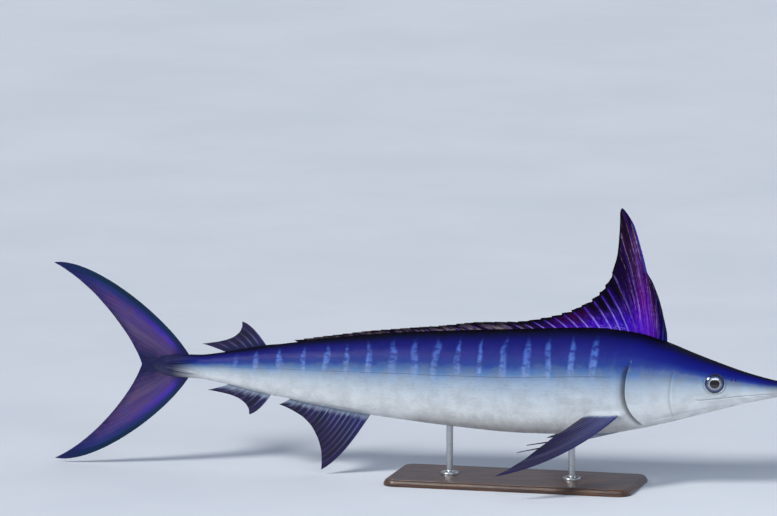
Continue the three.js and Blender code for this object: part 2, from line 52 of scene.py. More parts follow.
mm = 0.001 / fish["length"]  # one millimetre as a share
sides = {"left": 1, "right": -1}

body = {
    "stations": [  # at, top, bottom, half the width
        [-0.225, 0.0084, 0.0076, 0.0005],
        [-0.2, 0.0097, 0.0063, 0.0021],
        [-0.12, 0.0107, 0.0047, 0.004],
        [-0.04, 0.0112, 0.0028, 0.0056],
        [0, 0.0118, 0.0012, 0.0068],
        [0.04, 0.0172, -0.0085, 0.0108],
        [0.08, 0.0262, -0.0182, 0.0168],
        [0.124, 0.0395, -0.0305, 0.0275],
        [0.165, 0.0535, -0.0425, 0.0358],
        [0.202, 0.067, -0.053, 0.041],
        [0.25, 0.0785, -0.065, 0.045],
        [0.305, 0.0828, -0.0742, 0.0472],
        [0.42, 0.0765, -0.0775, 0.046],
        [0.52, 0.07, -0.0725, 0.042],
        [0.62, 0.062, -0.0635, 0.036],
        [0.72, 0.0492, -0.0505, 0.0285],
        [0.8, 0.037, -0.0375, 0.0208],
        [0.87, 0.0238, -0.0242, 0.0138],
        [0.915, 0.0176, -0.018, 0.0105],
        [0.945, 0.0172, -0.0174, 0.0078],
        [0.965, 0.0155, -0.0157, 0.0042],
        [0.984, 0.013, -0.0132, 0.0002],
    ],
    # how far up the side its widest level lies
    "widest": [[-0.225, 0.5], [0.124, 0.58], [0.25, 0.54], [0.965, 0.5]],
    "backPower": 1.85,
    "bellyPower": 2.05,
    # mm behind the lower jaw's tip, and the step between rings there
    "ringSpots": [
        -495, -300, -20, 0, 30, 185, 200, 225, 320, 400, 470, 580, 700, 900, 1350, 1372, 1392, 1415, 1700,
        1960, 2040, 2164.8,
    ],
    "ringSteps": [
        14, 14, 4.5, 1.6, 4, 2.8, 1.3, 1.6, 2.2, 3, 3.4, 3.4, 7, 13, 14, 3.5, 3.5, 14, 13, 5.5, 3.1, 2.8,
    ],
    "aboveMouth": 64,
    "belowMouth": 28,
}


def curveThrough(points):
    # a smooth function through the points that doesn't overshoot them
    xs, ys = np.array(points, float).T
    slopes = np.diff(ys) / np.diff(xs)
    product = slopes[:-1] * slopes[1:]
    total = np.where(product > 0, slopes[:-1] + slopes[1:], 1)
    inner = np.where(product > 0, 2 * product / total, 0)
    tangents = np.concatenate([slopes[:1], inner, slopes[-1:]])

    def heightAt(x):
        i = np.clip(np.searchsorted(xs, x) - 1, 0, len(xs) - 2)
        span = xs[i + 1] - xs[i]
        t = np.clip((x - xs[i]) / span, 0, 1)
        fromStart = (1 + 2 * t) * (1 - t) ** 2 * ys[i] + t * (1 - t) ** 2 * span * tangents[i]
        fromEnd = t * t * (3 - 2 * t) * ys[i + 1] - t * t * (1 - t) * span * tangents[i + 1]
        return fromStart + fromEnd

    return heightAt


topOf, bottomOf, halfWidthOf = (curveThrough([[s[0], s[i]] for s in body["stations"]]) for i in (1, 2, 3))
widestShareOf = curveThrough(body["widest"])


def smoothStep(x, low, high):
    t = np.clip((x - low) / (high - low), 0, 1)
    return t * t * (3 - 2 * t)


def window(x, start, full, fading, end):
    # 1 between full and fading, 0 before the start and past the end
    return smoothStep(x, start, full) * (1 - smoothStep(x, fading, end))


def bell(x, width):
    return np.exp(-((x / width) ** 2))


def unit(vector):
    return vector / np.linalg.norm(vector, axis=-1, keepdims=True)


def spread(spots, steps):
    # places from the first spot to the last, a step apart that changes from spot to spot
    fine = np.linspace(spots[0], spots[-1], 6000)
    middle = (fine[1:] + fine[:-1]) / 2
    count = np.concatenate([[0], np.cumsum(np.diff(fine) / np.interp(middle, spots, steps))])
    return np.interp(np.linspace(0, count[-1], int(round(count[-1])) + 1), count, fine)


def inPlace(at, across, level):
    # shares to metres in the frame
    at, across, level = np.broadcast_arrays(at, across, level)
    size = fish["length"]
    return np.stack([fish["jawTipX"] - at * size, across * size, fish["axisHeight"] + level * size], axis=-1)


def sharesOf(place):
    # the way back, from inPlace's metres to at and level
    size = fish["length"]
    return (fish["jawTipX"] - place[..., 0]) / size, (place[..., 2] - fish["axisHeight"]) / size


def widestLevel(at):
    return bottomOf(at) + (topOf(at) - bottomOf(at)) * widestShareOf(at)


def fromWidest(at, level):
    # height over the widest level, with the skin's reach and its roundness on that side of it
    height = level - widestLevel(at)
    reach = np.where(height > 0, topOf(at) - widestLevel(at), widestLevel(at) - bottomOf(at))
    return height, reach, np.where(height > 0, body["backPower"], body["bellyPower"])


def skinAt(at, turn):
    # a turn of 0 is the left side, and a quarter turn the back
    across, up = np.cos(turn), np.sin(turn)
    level = widestLevel(at)
    reach = np.where(up > 0, topOf(at) - level, level - bottomOf(at))
    power = 2 / np.where(up > 0, body["backPower"], body["bellyPower"])
    y = halfWidthOf(at) * np.sign(across) * np.abs(across) ** power
    return inPlace(at, y, level + reach * np.sign(up) * np.abs(up) ** power)


def skinNormal(at, turn):
    step = 1e-3
    lengthwise = skinAt(at + step, turn) - skinAt(at - step, turn)
    around = skinAt(at, turn + step) - skinAt(at, turn - step)
    return unit(np.cross(lengthwise, around))


def turnAt(at, level):
    # the turn on the left side where the skin has a level
    height, reach, power = fromWidest(at, level)
    return np.sign(height) * np.arcsin(np.clip(np.abs(height) / reach, 0, 1) ** (power / 2))


def roundShare(turn):
    # 0 on the ridge of the back, 1 under the belly
    return (math.pi / 2 - turn) / math.pi


def sideSpot(at, level):
    # a place on the left side, with its outward, rearward and upward directions
    turn = turnAt(at, level)
    outward = skinNormal(at, turn)
    upward = unit(np.array([0, 0, 1.0]) - outward * outward[2])
    return skinAt(at, turn), outward, np.cross(outward, upward), upward


def awayFrom(spot, place, alongMm, upMm):
    # how far places lie from a spot on the left side, in radii of an ellipse there
    middle, _, rearward, upward = sideSpot(*spot)
    return np.hypot((place - middle) @ rearward / alongMm, (place - middle) @ upward / upMm) * 1000


def clearOf(place):
    # roughly how far places lie outside the body, in mm
    at, level = sharesOf(place)
    height, reach, power = fromWidest(at, level)
    across = np.abs(place[..., 1]) / fish["length"] / halfWidthOf(at)
    share = (across ** power + (np.abs(height) / reach) ** power) ** (1 / power)
    return (share - 1) * np.minimum(halfWidthOf(at), reach) / mm


def flipped(points):
    return points * [1, -1, 1]


# Meshes

def quadsOver(index):
    a, b = index[:-1, :-1], index[1:, :-1]
    c, d = index[1:, 1:], index[:-1, 1:]
    return np.stack([a, b, c, d], axis=-1).reshape(-1, 4)


def signedVolume(points, faces):
    total = 0
    for i in range(1, faces.shape[1] - 1):
        p, q, r = points[faces[:, 0]], points[faces[:, i]], points[faces[:, i + 1]]
        total += np.einsum("ij,ij->i", p, np.cross(q, r)).sum()
    return total


def placed(name, data):
    made = bpy.data.objects.new(name, data)
    bpy.context.scene.collection.objects.link(made)
    return made


def newMesh(name, points, edges=(), faces=(), values=None):
    mesh = bpy.data.meshes.new(name)
    mesh.from_pydata(points, edges, faces)
    for title, numbers in (values or {}).items():
        layer = mesh.attributes.new(title, "FLOAT", "POINT")
        layer.data.foreach_set("value", np.asarray(numbers, np.float32).ravel())
    return mesh


def newPiece(name, points, faces, material, values=None):
    # faces is a list of arrays, each with one count of corners
    points = np.asarray(points, float).reshape(-1, 3)
    centre = points.mean(axis=0)
    if sum(signedVolume(points - centre, part) for part in faces) < 0:
        faces = [part[:, ::-1] for part in faces]
    mesh = newMesh(name, points.tolist(), (), [face for part in faces for face in part.tolist()], values)
    mesh.materials.append(material)
    mesh.shade_smooth()
    return placed(name, mesh)


def tube(rings, middles=None):
    # faces over closed rings, with each end drawn to a middle point that stands last
    if middles is None:
        middles = [rings[0].mean(axis=0), rings[-1].mean(axis=0)]
    count, around = rings.shape[:2]
    index = np.arange(count * around).reshape(count, around)
    sheet = quadsOver(np.concatenate([index, index[:, :1]], axis=1))
    ends = []
    for ring, middle in [(index[0], count * around), (index[-1][::-1], count * around + 1)]:
        ends.append(np.stack([ring, np.roll(ring, -1), np.full(around, middle)], axis=-1))
    points = np.concatenate([rings.reshape(-1, 3), middles])
    return points, [sheet, np.concatenate(ends)]


def handIn(piece, nodes=()):
    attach(piece, "root")
    if nodes:
        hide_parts(*nodes)


# Shader helpers

def colourOf(text):
    # a screen colour as linear light
    parts = [int(text[i:i + 2], 16) / 255 for i in (1, 3, 5)]
    linear = [p / 12.92 if p <= 0.04045 else ((p + 0.055) / 1.055) ** 2.4 for p in parts]
    return (*linear, 1.0)


def feed(tree, node, inputs):
    # sets each input of a node, or links it where a socket is given
    for key, value in inputs.items():
        value = getattr(value, "socket", value)
        if isinstance(value, bpy.types.NodeSocket):
            tree.links.new(value, node.inputs[key])
        elif value is not None:
            node.inputs[key].default_value = value


def add(tree, kind, inputs=None, **settings):
    made = tree.nodes.new(kind)
    for key, value in settings.items():
        setattr(made, key, value)
    feed(tree, made, inputs or {})
    return made


class Field:
    # a value that changes over the surface and can be reckoned with like a number
    def __init__(self, tree, socket):
        self.tree = tree
        self.socket = socket

    def apply(self, operation, *values):
        made = add(self.tree, "ShaderNodeMath", dict(enumerate(values)), operation=operation)
        return Field(self.tree, made.outputs[0])

    def __add__(self, other):
        return self.apply("ADD", self, other)

    def __sub__(self, other):
        return self.apply("SUBTRACT", self, other)

    def __rsub__(self, other):
        return self.apply("SUBTRACT", other, self)

    def __mul__(self, other):
        return self.apply("MULTIPLY", self, other)

    def __truediv__(self, other):
        return self.apply("DIVIDE", self, other)

    def __abs__(self):
        return self.apply("ABSOLUTE", self)

    def toWhole(self):
        # 0 at a whole number, a half in the middle between two
        return self.apply("PINGPONG", self, 0.5)

    def rise(self, low, high, start=0.0, end=1.0):
        # eases from start to end between low and high
        numbers = {"Value": self, "From Min": low, "From Max": high, "To Min": start, "To Max": end}
        made = add(self.tree, "ShaderNodeMapRange", numbers, interpolation_type="SMOOTHSTEP")
        return Field(self.tree, made.outputs[0])

    def fall(self, low, high, end=0.0):
        return self.rise(low, high, 1.0, end)

    def peak(self, middle, width):
        return abs(self - middle).fall(0.0, width)


class Patterns:
    # the node tree of a material or a group, with short ways to add to it
    def __init__(self, tree):
        self.tree = tree

    def field(self, kind, inputs=None, output=0, **settings):
        return Field(self.tree, add(self.tree, kind, inputs, **settings).outputs[output])

    def attribute(self, title):
        return self.field("ShaderNodeAttribute", None, "Fac", attribute_name=title)

    def place(self, scale=None):
        # the object's own coordinates
        spot = add(self.tree, "ShaderNodeTexCoord").outputs["Object"]
        if scale is None:
            return spot
        return add(self.tree, "ShaderNodeMapping", {"Vector": spot, "Scale": scale}).outputs[0]

    def vector(self, x, y, z=0.0):
        return add(self.tree, "ShaderNodeCombineXYZ", {"X": x, "Y": y, "Z": z}).outputs[0]

    def noise(self, vector, scale, detail=3.0, roughness=0.55):
        inputs = {"Vector": vector, "Scale": scale, "Detail": detail, "Roughness": roughness}
        return self.field("ShaderNodeTexNoise", inputs, "Fac")

    def ramp(self, value, stops):
        made = add(self.tree, "ShaderNodeValToRGB", {"Fac": value})
        elements = made.color_ramp.elements
        while len(elements) < len(stops):
            elements.new(0.5)
        for element, (place, colour) in zip(elements, stops):
            element.position = place
            element.color = colourOf(colour)
        return made.outputs["Color"]

    def mixed(self, factor, first, second, blend="MIX"):
        first, second = (colourOf(c) if isinstance(c, str) else c for c in (first, second))
        inputs = {0: factor, 6: first, 7: second}
        return add(self.tree, "ShaderNodeMix", inputs, data_type="RGBA", blend_type=blend).outputs[2]

    def group(self, tree, **inputs):
        made = add(self.tree, "ShaderNodeGroup", inputs, node_tree=tree)
        return [Field(self.tree, socket) for socket in made.outputs]


class Finish(Patterns):
    # a material with fixed values on the shader's own sockets, and a colour laid on coat by coat
    def __init__(self, name, fixed):
        self.material = bpy.data.materials.new(name)
        self.material.use_nodes = True
        super().__init__(self.material.node_tree)
        self.surface = self.tree.nodes["Principled BSDF"]
        self.colour = None
        self.normal = None
        feed(self.tree, self.surface, fixed)

    def coat(self, factor, colour, blend="MIX"):
        self.colour = self.mixed(factor, self.colour, colour, blend)

    def bump(self, height, strength, distance):
        inputs = {"Height": height, "Strength": strength, "Distance": distance, "Normal": self.normal}
        self.normal = add(self.tree, "ShaderNodeBump", inputs).outputs[0]

    def done(self, varying):
        feed(self.tree, self.surface, {"Base Color": self.colour, "Normal": self.normal, **varying})
        return self.material


def newGroup(name, inputs, outputs):
    tree = bpy.data.node_groups.new(name, "ShaderNodeTree")
    for title, value in inputs.items():
        made = tree.interface.new_socket(name=title, in_out="INPUT", socket_type="NodeSocketFloat")
        made.default_value = value
    for title in outputs:
        tree.interface.new_socket(name=title, in_out="OUTPUT", socket_type="NodeSocketFloat")
    given = tree.nodes.new("NodeGroupInput").outputs
    fields = [Field(tree, given[title]) for title in inputs]
    return Patterns(tree), fields, tree.nodes.new("NodeGroupOutput")


def finStreakGroup():
    # fine and broad streaks that run along the rays of a fin
    inputs = {"Ray": 0, "Out": 0, "Fineness": 3, "Run": 2}
    group, (ray, out, fineness, run), result = newGroup("finStreaks", inputs, ["Fine", "Broad"])
    across = ray * fineness
    along = out * run
    fine = group.noise(group.vector(across, along, 3.1), 1.0, 4.0, 0.6)
    broad = group.noise(group.vector(across * 0.3, along, 9.7), 1.0, 2.0, 0.5)
    feed(group.tree, result, {"Fine": fine.rise(0.32, 0.68), "Broad": broad.rise(0.3, 0.7)})
    return group.tree


def skinGrainGroup():
    # long narrow scales set in the skin, a soft mottle, and pores
    inputs = {"Along": 0, "Round": 0, "Rows": 105, "Lengths": 185}
    outputs = ["Scales", "Mottle", "Pores"]
    group, (along, height, rows, lengths), result = newGroup("skinGrain", inputs, outputs)
    cells = {"Vector": group.vector(along * lengths, height * rows), "Scale": 1.0, "Randomness": 0.85}
    scales = group.field("ShaderNodeTexVoronoi", cells, "Distance").fall(0.15, 0.75)
    spot = group.place()
    mottle = group.noise(spot, 26.0, 5.0).rise(0.3, 0.7)
    pores = group.noise(spot, 700.0, 2.0).rise(0.35, 0.65)
    feed(group.tree, result, {"Scales": scales, "Mottle": mottle, "Pores": pores})
    return group.tree


finStreaks = finStreakGroup()
skinGrain = skinGrainGroup()


def skinFinish():
    look = {
        "back": [
            (0.0, "#020208"), (0.07, "#030314"), (0.13, "#05063a"), (0.2, "#070a62"), (0.3, "#0c1874"),
            (0.37, "#1e3a84"), (0.43, "#5274a2"), (0.5, "#93a7bd"), (0.58, "#c1cbd3"), (0.7, "#e0e4e5"),
            (1.0, "#f1f1ed"),
        ],
        "barFirst": 0.285,
        "barPeriod": 0.0345,
        "barMiddle": 0.36,
        "bars": ["#4f7bd2", "#8fa3c8"],
        "bronze": "#84776a",
        "bill": ["#12121e", "#686c74"],
        "tailStem": "#1b1c44",
        "lateralLine": 0.455,
        "shade": "#1b2448",
        # colour of the painted shade laid into creases, slits, pits and hollows
        "paintedShade": "#150b12",
    }
    skin = Finish("fishSkin", {"Coat Roughness": 0.2, "IOR": 1.4, "Specular IOR Level": 0.12})
    along = skin.attribute("along")
    height = skin.attribute("round")
    scales, mottle, pores = skin.group(skinGrain, Along=along, Round=height)
    wobble = skin.noise(skin.place(), 6.0, 4.0) - 0.5
    level = height + wobble * 0.07 + (mottle - 0.5) * 0.025
    skin.colour = skin.ramp(level, look["back"])
    # bars that narrow towards both ends and break up into spots
    place = (along - look["barFirst"]) / look["barPeriod"] + wobble * 0.9
    own = skin.noise(skin.vector(place.apply("ROUND", place), 4.5), 0.77, 1.0)
    bar = place.toWhole() - abs(height - look["barMiddle"]).rise(0.04, 0.26, 0.0, 0.13)
    bar = (bar - own.rise(0.4, 0.6, 0.0, 0.06)).rise(0.27, 0.42)
    spots = skin.noise(skin.vector(along * 70.0, height * 26.0), 1.0, 3.0).rise(0.36, 0.58, 0.15)
    bar = bar * spots * height.rise(0.12, 0.27) * height.fall(0.44, 0.66) * own.rise(0.35, 0.65, 0.6)
    bar = bar * along.rise(0.265, 0.3) * along.fall(0.8, 0.9)
    skin.coat(bar * 0.72, skin.mixed(height.rise(0.28, 0.5), *look["bars"]))
    # bronze sheen where the back meets the side, strongest on the head
    skin.coat(level.peak(0.45, 0.1) * mottle * along.fall(0.2, 0.3, 0.45) * 0.38, look["bronze"])
    skin.coat(along.fall(-0.02, 0.08) * 0.85, skin.mixed(level.rise(0.35, 0.85), *look["bill"]))
    # dark end of the tail stem
    atTail = along.rise(0.9, 0.957)
    skin.coat(atTail * 0.97, look["tailStem"])
    # shade of mottle, streaks, scales and the lateral line
    streaks = skin.noise(skin.vector(along * 14.0, height * 190.0), 1.0, 4.0, 0.6).rise(0.34, 0.66)
    scales = scales * along.rise(0.2, 0.3)
    line = abs(height + wobble * 0.012 - look["lateralLine"]).fall(0.0012, 0.005)
    line = line * along.rise(0.262, 0.29) * along.fall(0.88, 0.92)
    skin.coat(mottle * 0.2 + streaks * 0.05 + scales * 0.07 + line * 0.3, look["shade"], "MULTIPLY")
    # painted shade: a dark coat in the skin's creases, slits, pits and hollows
    skin.coat(skin.attribute("paintedShade") * 0.85, look["paintedShade"])
    skin.bump(scales, 0.36, 0.0006)
    skin.bump(streaks, 0.1, 0.0003)
    skin.bump(1.0 - line, 0.4, 0.0006)
    skin.bump(pores, 0.12, 0.0003)
    return skin.done({
        "Metallic": level.rise(0.4, 0.6, 0.0, 0.28) * (1.0 - atTail),
        "Roughness": level.rise(0.2, 0.5, 0.5, 0.32) + mottle * 0.12,
        "Coat Weight": level.rise(0.28, 0.52, 0.015, 0.32) * (1.0 - atTail),
    })


def dorsalFinish():
    look = {
        "lastRay": 28.0,
        "byRay": [
            (0, "#1a2860"), (1.5, "#20185a"), (3, "#4a2088"), (4.8, "#4e20a8"), (7.5, "#3212a4"),
            (10, "#4a2cb0"), (13, "#482698"), (16, "#241634"), (28, "#2c2434"),
        ],
        "byHeight": [
            (0.0, "#ffffff"), (0.35, "#e2daee"), (0.62, "#aea0bc"), (0.85, "#706480"), (1.0, "#40384c"),
        ],
        "mauve": "#6c4870",
        "plum": "#1c0644",
        "magenta": "#621a6e",
        "blue": "#2408a8",
        "fineStreaks": "#06020f",
        "broadStreaks": "#0a0312",
        "hairs": "#08030f",
        "blotches": "#0a0514",
        "paleStreaks": "#9c8296",
        "threads": "#7a4cc8",
        "bands": "#04010a",
        "rays": ["#8f7ce2", "#4526a6"],
        "paleFootBands": "#a89cd8",
        "rearEdge": "#08050e",
        "frontEdge": ["#10203f", "#20307e"],
        "tan": "#8d7d80",
    }
    fin = Finish("dorsalFin", {"Coat Weight": 0.015, "Coat Roughness": 0.25, "Specular IOR Level": 0.03})
    ray, out, fromEdge = (fin.attribute(title) for title in ("ray", "out", "fromEdge"))
    fine, broad = fin.group(finStreaks, Ray=ray, Out=out, Fineness=5.0, Run=1.5)
    hair = fin.group(finStreaks, Ray=ray, Out=out, Fineness=13.0, Run=5.0)[0]
    blotch = fin.noise(fin.place(), 75.0, 6.0, 0.65).rise(0.4, 0.6)
    drift = broad - 0.5
    wavy = ray + drift * 0.5
    rise = out + drift * 0.16
    stops = [(place / look["lastRay"], colour) for place, colour in look["byRay"]]
    fin.colour = fin.ramp(wavy / look["lastRay"], stops)
    fin.coat(1.0, fin.ramp(rise, look["byHeight"]), "MULTIPLY")
    # mauve in front of the tip's ray, plum behind it, and magenta and blue between the middle rays
    mauve = wavy.rise(1.8, 3.0) * wavy.fall(4.4, 6.2) * rise.rise(0.22, 0.55) * rise.fall(0.8, 1.0, 0.4)
    fin.coat(mauve * 0.6, look["mauve"])
    fin.coat(wavy.rise(4.6, 5.6) * wavy.fall(9.0, 11.0) * rise.rise(0.4, 0.9) * 0.8, look["plum"])
    high = wavy.peak(11.5, 3.0) * rise.rise(0.35, 0.8) * rise.fall(0.88, 1.0)
    low = wavy.peak(4.2, 1.8) * rise.rise(0.08, 0.3) * rise.fall(0.34, 0.6)
    fin.coat(high.apply("MAXIMUM", high * 0.7, low * 0.6), look["magenta"])
    fin.coat(wavy.peak(8.0, 1.9) * rise.rise(0.15, 0.35) * rise.fall(0.5, 0.85) * 0.7, look["blue"])
    lively = {"Color": fin.colour, "Saturation": 1.16, "Value": out.rise(0.2, 0.75, 1.36, 1.05)}
    fin.colour = add(fin.tree, "ShaderNodeHueSaturation", lively).outputs[0]
    # dark streaks, hairs and blotches, weaker towards the root
    fin.coat(fine * out.rise(0.1, 0.6, 0.42, 0.82), look["fineStreaks"])
    deep = broad * out.rise(0.28, 0.6) * ray.rise(1.2, 2.6) * ray.fall(9.0, 13.0, 0.4)
    fin.coat(deep * 0.72, look["broadStreaks"])
    fin.coat(hair * out.rise(0.1, 0.6, 0.22, 0.45), look["hairs"])
    fin.coat(blotch * out.rise(0.1, 0.6, 0.08, 0.45), look["blotches"])
    # pale streaks between the front rays, and lilac threads in the lower half
    pale = ray.rise(1.0, 2.0) * ray.fall(5.4, 6.6) * out.rise(0.08, 0.3) * fine.rise(0.3, 0.08)
    fin.coat(pale * hair.rise(0.8, 0.2) * blotch.fall(0.0, 1.0, 0.35) * 0.75, look["paleStreaks"])
    threads = hair.rise(0.55, 0.12) * blotch.fall(0.1, 0.9, 0.4) * ray.rise(1.6, 3.0)
    fin.coat(threads * ray.fall(9.0, 15.0, 0.3) * out.fall(0.45, 0.8) * 0.27, look["threads"])
    # black bands between the middle rays, from the edge down
    near = ray.toWhole()
    bands = near.rise(0.2, 0.4) * ray.rise(4.9, 6.8) * ray.fall(9.4, 10.6, 0.3) * rise.rise(0.38, 0.8)
    fin.coat(bands * 0.85, look["bands"])
    # pale rays
    line = near.fall(0.05, 0.12) * ray.rise(5.6, 7.6, 0.2) * fromEdge.rise(3.0, 12.0)
    line = line * ray.fall(15.0, 19.0, 0.4) * hair.fall(0.2, 0.9, 0.45)
    fin.coat(line * 0.8, fin.mixed(out.rise(0.35, 0.8), *look["rays"]))
    # pale lilac bands across the rays at the foot
    foot = fin.noise(fin.vector(ray * 2.2, out * 60.0, 2.0), 1.0, 3.0).rise(0.52, 0.62)
    paleFootBands = foot * ray.rise(6.5, 8.0) * ray.fall(13.0, 16.0) * out.fall(0.16, 0.3)
    fin.coat(paleFootBands * 0.36, look["paleFootBands"])
    # dark edge behind the tip, steel blue edge before it
    ragged = fromEdge + drift * 5.0
    fin.coat(ragged.fall(4.0, 9.5) * ray.rise(3.95, 4.4) * 0.92, look["rearEdge"])
    frontEdge = ragged.fall(3.0, 6.5) * ray.fall(3.7, 4.1) * 0.85
    fin.coat(frontEdge, fin.mixed(ray.rise(1.6, 3.2), *look["frontEdge"]))
    # tan patches along the low rear strip
    patch = fin.noise(fin.vector(ray * 0.9, out * 1.5, 5.0), 1.0, 3.0).rise(0.42, 0.56)
    tan = ray.rise(15.5, 19.0) * patch * fine.rise(0.75, 0.2) * out.fall(0.3, 0.75, 0.25)
    fin.coat(tan * 0.8, look["tan"])
    fin.bump(fine, 0.55, 0.0007)
    fin.bump(hair, 0.4, 0.0004)
    return fin.done({"Roughness": fine.rise(0.0, 1.0, 0.36, 0.52)})


def tailFinish():
    look = {
        "byShare": [
            (0.0, "#0c2834"), (0.08, "#142e50"), (0.2, "#283070"), (0.42, "#4a3c7c"), (0.65, "#4c4070"),
            (0.9, "#282850"), (1.0, "#121634"),
        ],
        "violet": "#4a2fae",
        "mauve": "#6b5a72",
        "tip": "#1c2052",
        "mottle": "#5e3c62",
        "streaks": "#120f2c",
        "root": "#1b1c44",
    }
    fin = Finish("tailFin", {"Coat Weight": 0.03, "Coat Roughness": 0.25, "Specular IOR Level": 0.07})
    share, out, ray = (fin.attribute(title) for title in ("share", "out", "ray"))
    fine, broad = fin.group(finStreaks, Ray=ray, Out=out, Fineness=1.3, Run=1.4)
    fin.colour = fin.ramp(share + (broad - 0.5) * 0.1, look["byShare"])
    fin.coat(share.peak(0.3, 0.16) * out.fall(0.25, 0.62) * 0.7, look["violet"])
    fin.coat(share.peak(0.6, 0.24) * (broad * out.rise(0.2, 0.5)) * 0.5, look["mauve"])
    fin.coat(out.rise(0.7, 1.0, 0.0, 0.8), look["tip"])
    mottle = fin.noise(fin.place(), 34.0, 6.0, 0.65).rise(0.42, 0.62)
    fin.coat(mottle * share.rise(0.16, 0.4) * share.fall(0.8, 0.97) * 0.34, look["mottle"])
    fin.coat(fine * 0.42, look["streaks"])
    fin.coat(out.rise(0.04, 0.2, 0.92, 0.0), look["root"])
    fin.bump(fine, 0.4, 0.0006)
    return fin.done({"Roughness": fine.rise(0.0, 1.0, 0.34, 0.48)})


def smallFinFinish():
    look = {
        "byHeight": [(0.0, "#23306c"), (0.25, "#191d4e"), (0.6, "#14122e"), (1.0, "#0b0a18")],
        "violet": "#33245e",
        "rays": "#6c70a0",
        "streaks": "#0a0a1c",
        "roots": ["#8996a8", "#0c1138"],  # below and above the fish's middle
    }
    fin = Finish("smallFins", {"Coat Weight": 0.08, "Coat Roughness": 0.25, "Specular IOR Level": 0.2})
    out, ray = (fin.attribute(title) for title in ("out", "ray"))
    fine, broad = fin.group(finStreaks, Ray=ray, Out=out, Fineness=2.2, Run=1.6)
    fin.colour = fin.ramp(out, look["byHeight"])
    fin.coat(broad * 0.4, look["violet"])
    fin.coat(ray.toWhole().fall(0.08, 0.2) * out.rise(0.3, 0.9, 0.5, 0.1), look["rays"])
    fin.coat(fine * 0.4, look["streaks"])
    tall = fin.field("ShaderNodeSeparateXYZ", {0: fin.place()}, "Z")
    tall = tall.rise(fish["axisHeight"] - 0.06, fish["axisHeight"] + 0.02)
    fromSkin = fin.attribute("clear") + fine * 7.0
    fin.coat(fromSkin.fall(3.0, 18.0), fin.mixed(tall, *look["roots"]))
    fin.bump(fine, 0.4, 0.0006)
    return fin.done({"Roughness": fine.rise(0.0, 1.0, 0.3, 0.46)})


def eyeFinish():
    look = {
        "fromPupil": [
            (0.0, "#010103"), (0.42, "#020208"), (0.45, "#cdbf94"), (0.49, "#8f97a8"), (0.58, "#5f7194"),
            (0.72, "#34456f"), (0.84, "#141a38"), (1.0, "#06070f"),
        ],
        "flecks": "#0b1020",
    }
    ball = Finish("eye", {"Coat Weight": 1.0, "Coat Roughness": 0.02, "IOR": 1.45})
    away = ball.attribute("sight")
    wave = ball.noise(ball.place(), 160.0, 4.0)
    ball.colour = ball.ramp(away + (wave - 0.5) * 0.03, look["fromPupil"])
    ball.coat(ball.noise(ball.place(), 420.0, 2.0).rise(0.45, 0.62, 0.0, 0.25), look["flecks"])
    return ball.done({
        "Metallic": away.rise(0.42, 0.46, 0.0, 0.35),
        "Roughness": wave.rise(0.3, 0.7, 0.1, 0.2),
    })


def woodFinish():
    look = {"grain": [(0.0, "#2a1710"), (0.5, "#452818"), (1.0, "#5d3a22")], "pores": "#1c0f0a"}
    wood = Finish("stainedWood", {"Coat Weight": 0.35, "Coat Roughness": 0.25})
    waves = (wood.noise(wood.place((0.35, 7.0, 7.0)), 5.0, 5.0, 0.6) * 9.0).toWhole()
    pores = wood.noise(wood.place((3.0, 240.0, 240.0)), 3.0, 3.0).rise(0.42, 0.6)
    wood.colour = wood.ramp(waves * 2.0, look["grain"])
    wood.coat(pores * 0.45, look["pores"])
    wood.bump(pores, 0.25, 0.0003)
    return wood.done({"Roughness": pores.rise(0.0, 1.0, 0.36, 0.52)})


def steelFinish():
    steel = Finish("brushedSteel", {})
    brushed = steel.noise(steel.place((60.0, 60.0, 2600.0)), 1.0, 3.0)
    steel.colour = steel.mixed(brushed.rise(0.3, 0.7), "#a9abad", "#c0c2c4")
    steel.bump(brushed, 0.06, 0.0001)
    return steel.done({
        "Metallic": brushed.rise(0.3, 0.7, 0.95, 1.0),
        "Roughness": brushed.rise(0.3, 0.7, 0.26, 0.34),
    })


print("finishes")
finishes = {
    "skin": skinFinish(),
    "dorsal": dorsalFinish(),
    "tail": tailFinish(),
    "smallFins": smallFinFinish(),
    "eye": eyeFinish(),
    "wood": woodFinish(),
    "steel": steelFinish(),
}

# Head and body skin

mouth = {
    "corner": 0.148,
    "cornerLevel": -0.013,
    "lowestTurnDeg": -70,
    "columnsFreed": [0.15, 0.25],
    "lips": [0.002, 0.014, 0.1455, 0.1495],
    # along the skin, upwards from the slit, and how far the skin stands out there, in mm
    "fold": [
        [14, 0], [8, 1.1], [4, 1.7], [1.6, 1.6], [0.7, 0.6], [0.45, -3], [0, -9],
        [-0.45, -3], [-0.7, 0.4], [-1.6, 1.2], [-4, 1.3], [-8, 0.6], [-14, 0],
    ],
}
gill = {
    "at": 0.2545,
    "coverFront": 0.1795,
    "bendAbove": 3.3,
    "bendBelow": 8,
    "middleLevel": -0.005,
    "foremost": 0.19,
    "openDeg": [-78, -60, 12, 33],
    "coverLiftMm": 4.7,
    # behind the edge: where the ring lies when flat and when folded, and how far it stands out, in mm
    "fold": [
        [-12, -12, 4.6], [-8, -6, 5.2], [-5, -2, 5.5], [-3, 0.4, 4.8], [-1, 0.2, 2.6], [1, -3, -1],
        [3, -2.5, -4.6], [5, 1.5, -5.8], [8, 5, -5], [13, 12, -3.4], [22, 22, -1.4], [35, 35, 0],
    ],
}
eye = {
    "spot": [0.124, 0.0125],
    "radiiMm": [36, 32.5, 14],
    "sunkMm": 7,
    "socketMm": 7,
    "moundMm": 1.5,
    # away from the middle as a share of the radii, and height above the skin in mm
    "rim": [
        [0.815, -2.6], [0.826, -1.0], [0.838, 0.5], [0.852, 1.5], [0.872, 2.35], [0.9, 2.95], [0.93, 3.15],
        [0.96, 3.0], [0.985, 2.55], [1.005, 1.95], [1.022, 1.2], [1.04, 0.2], [1.065, -1.4],
    ],
    "rimUnderMm": 4,
}
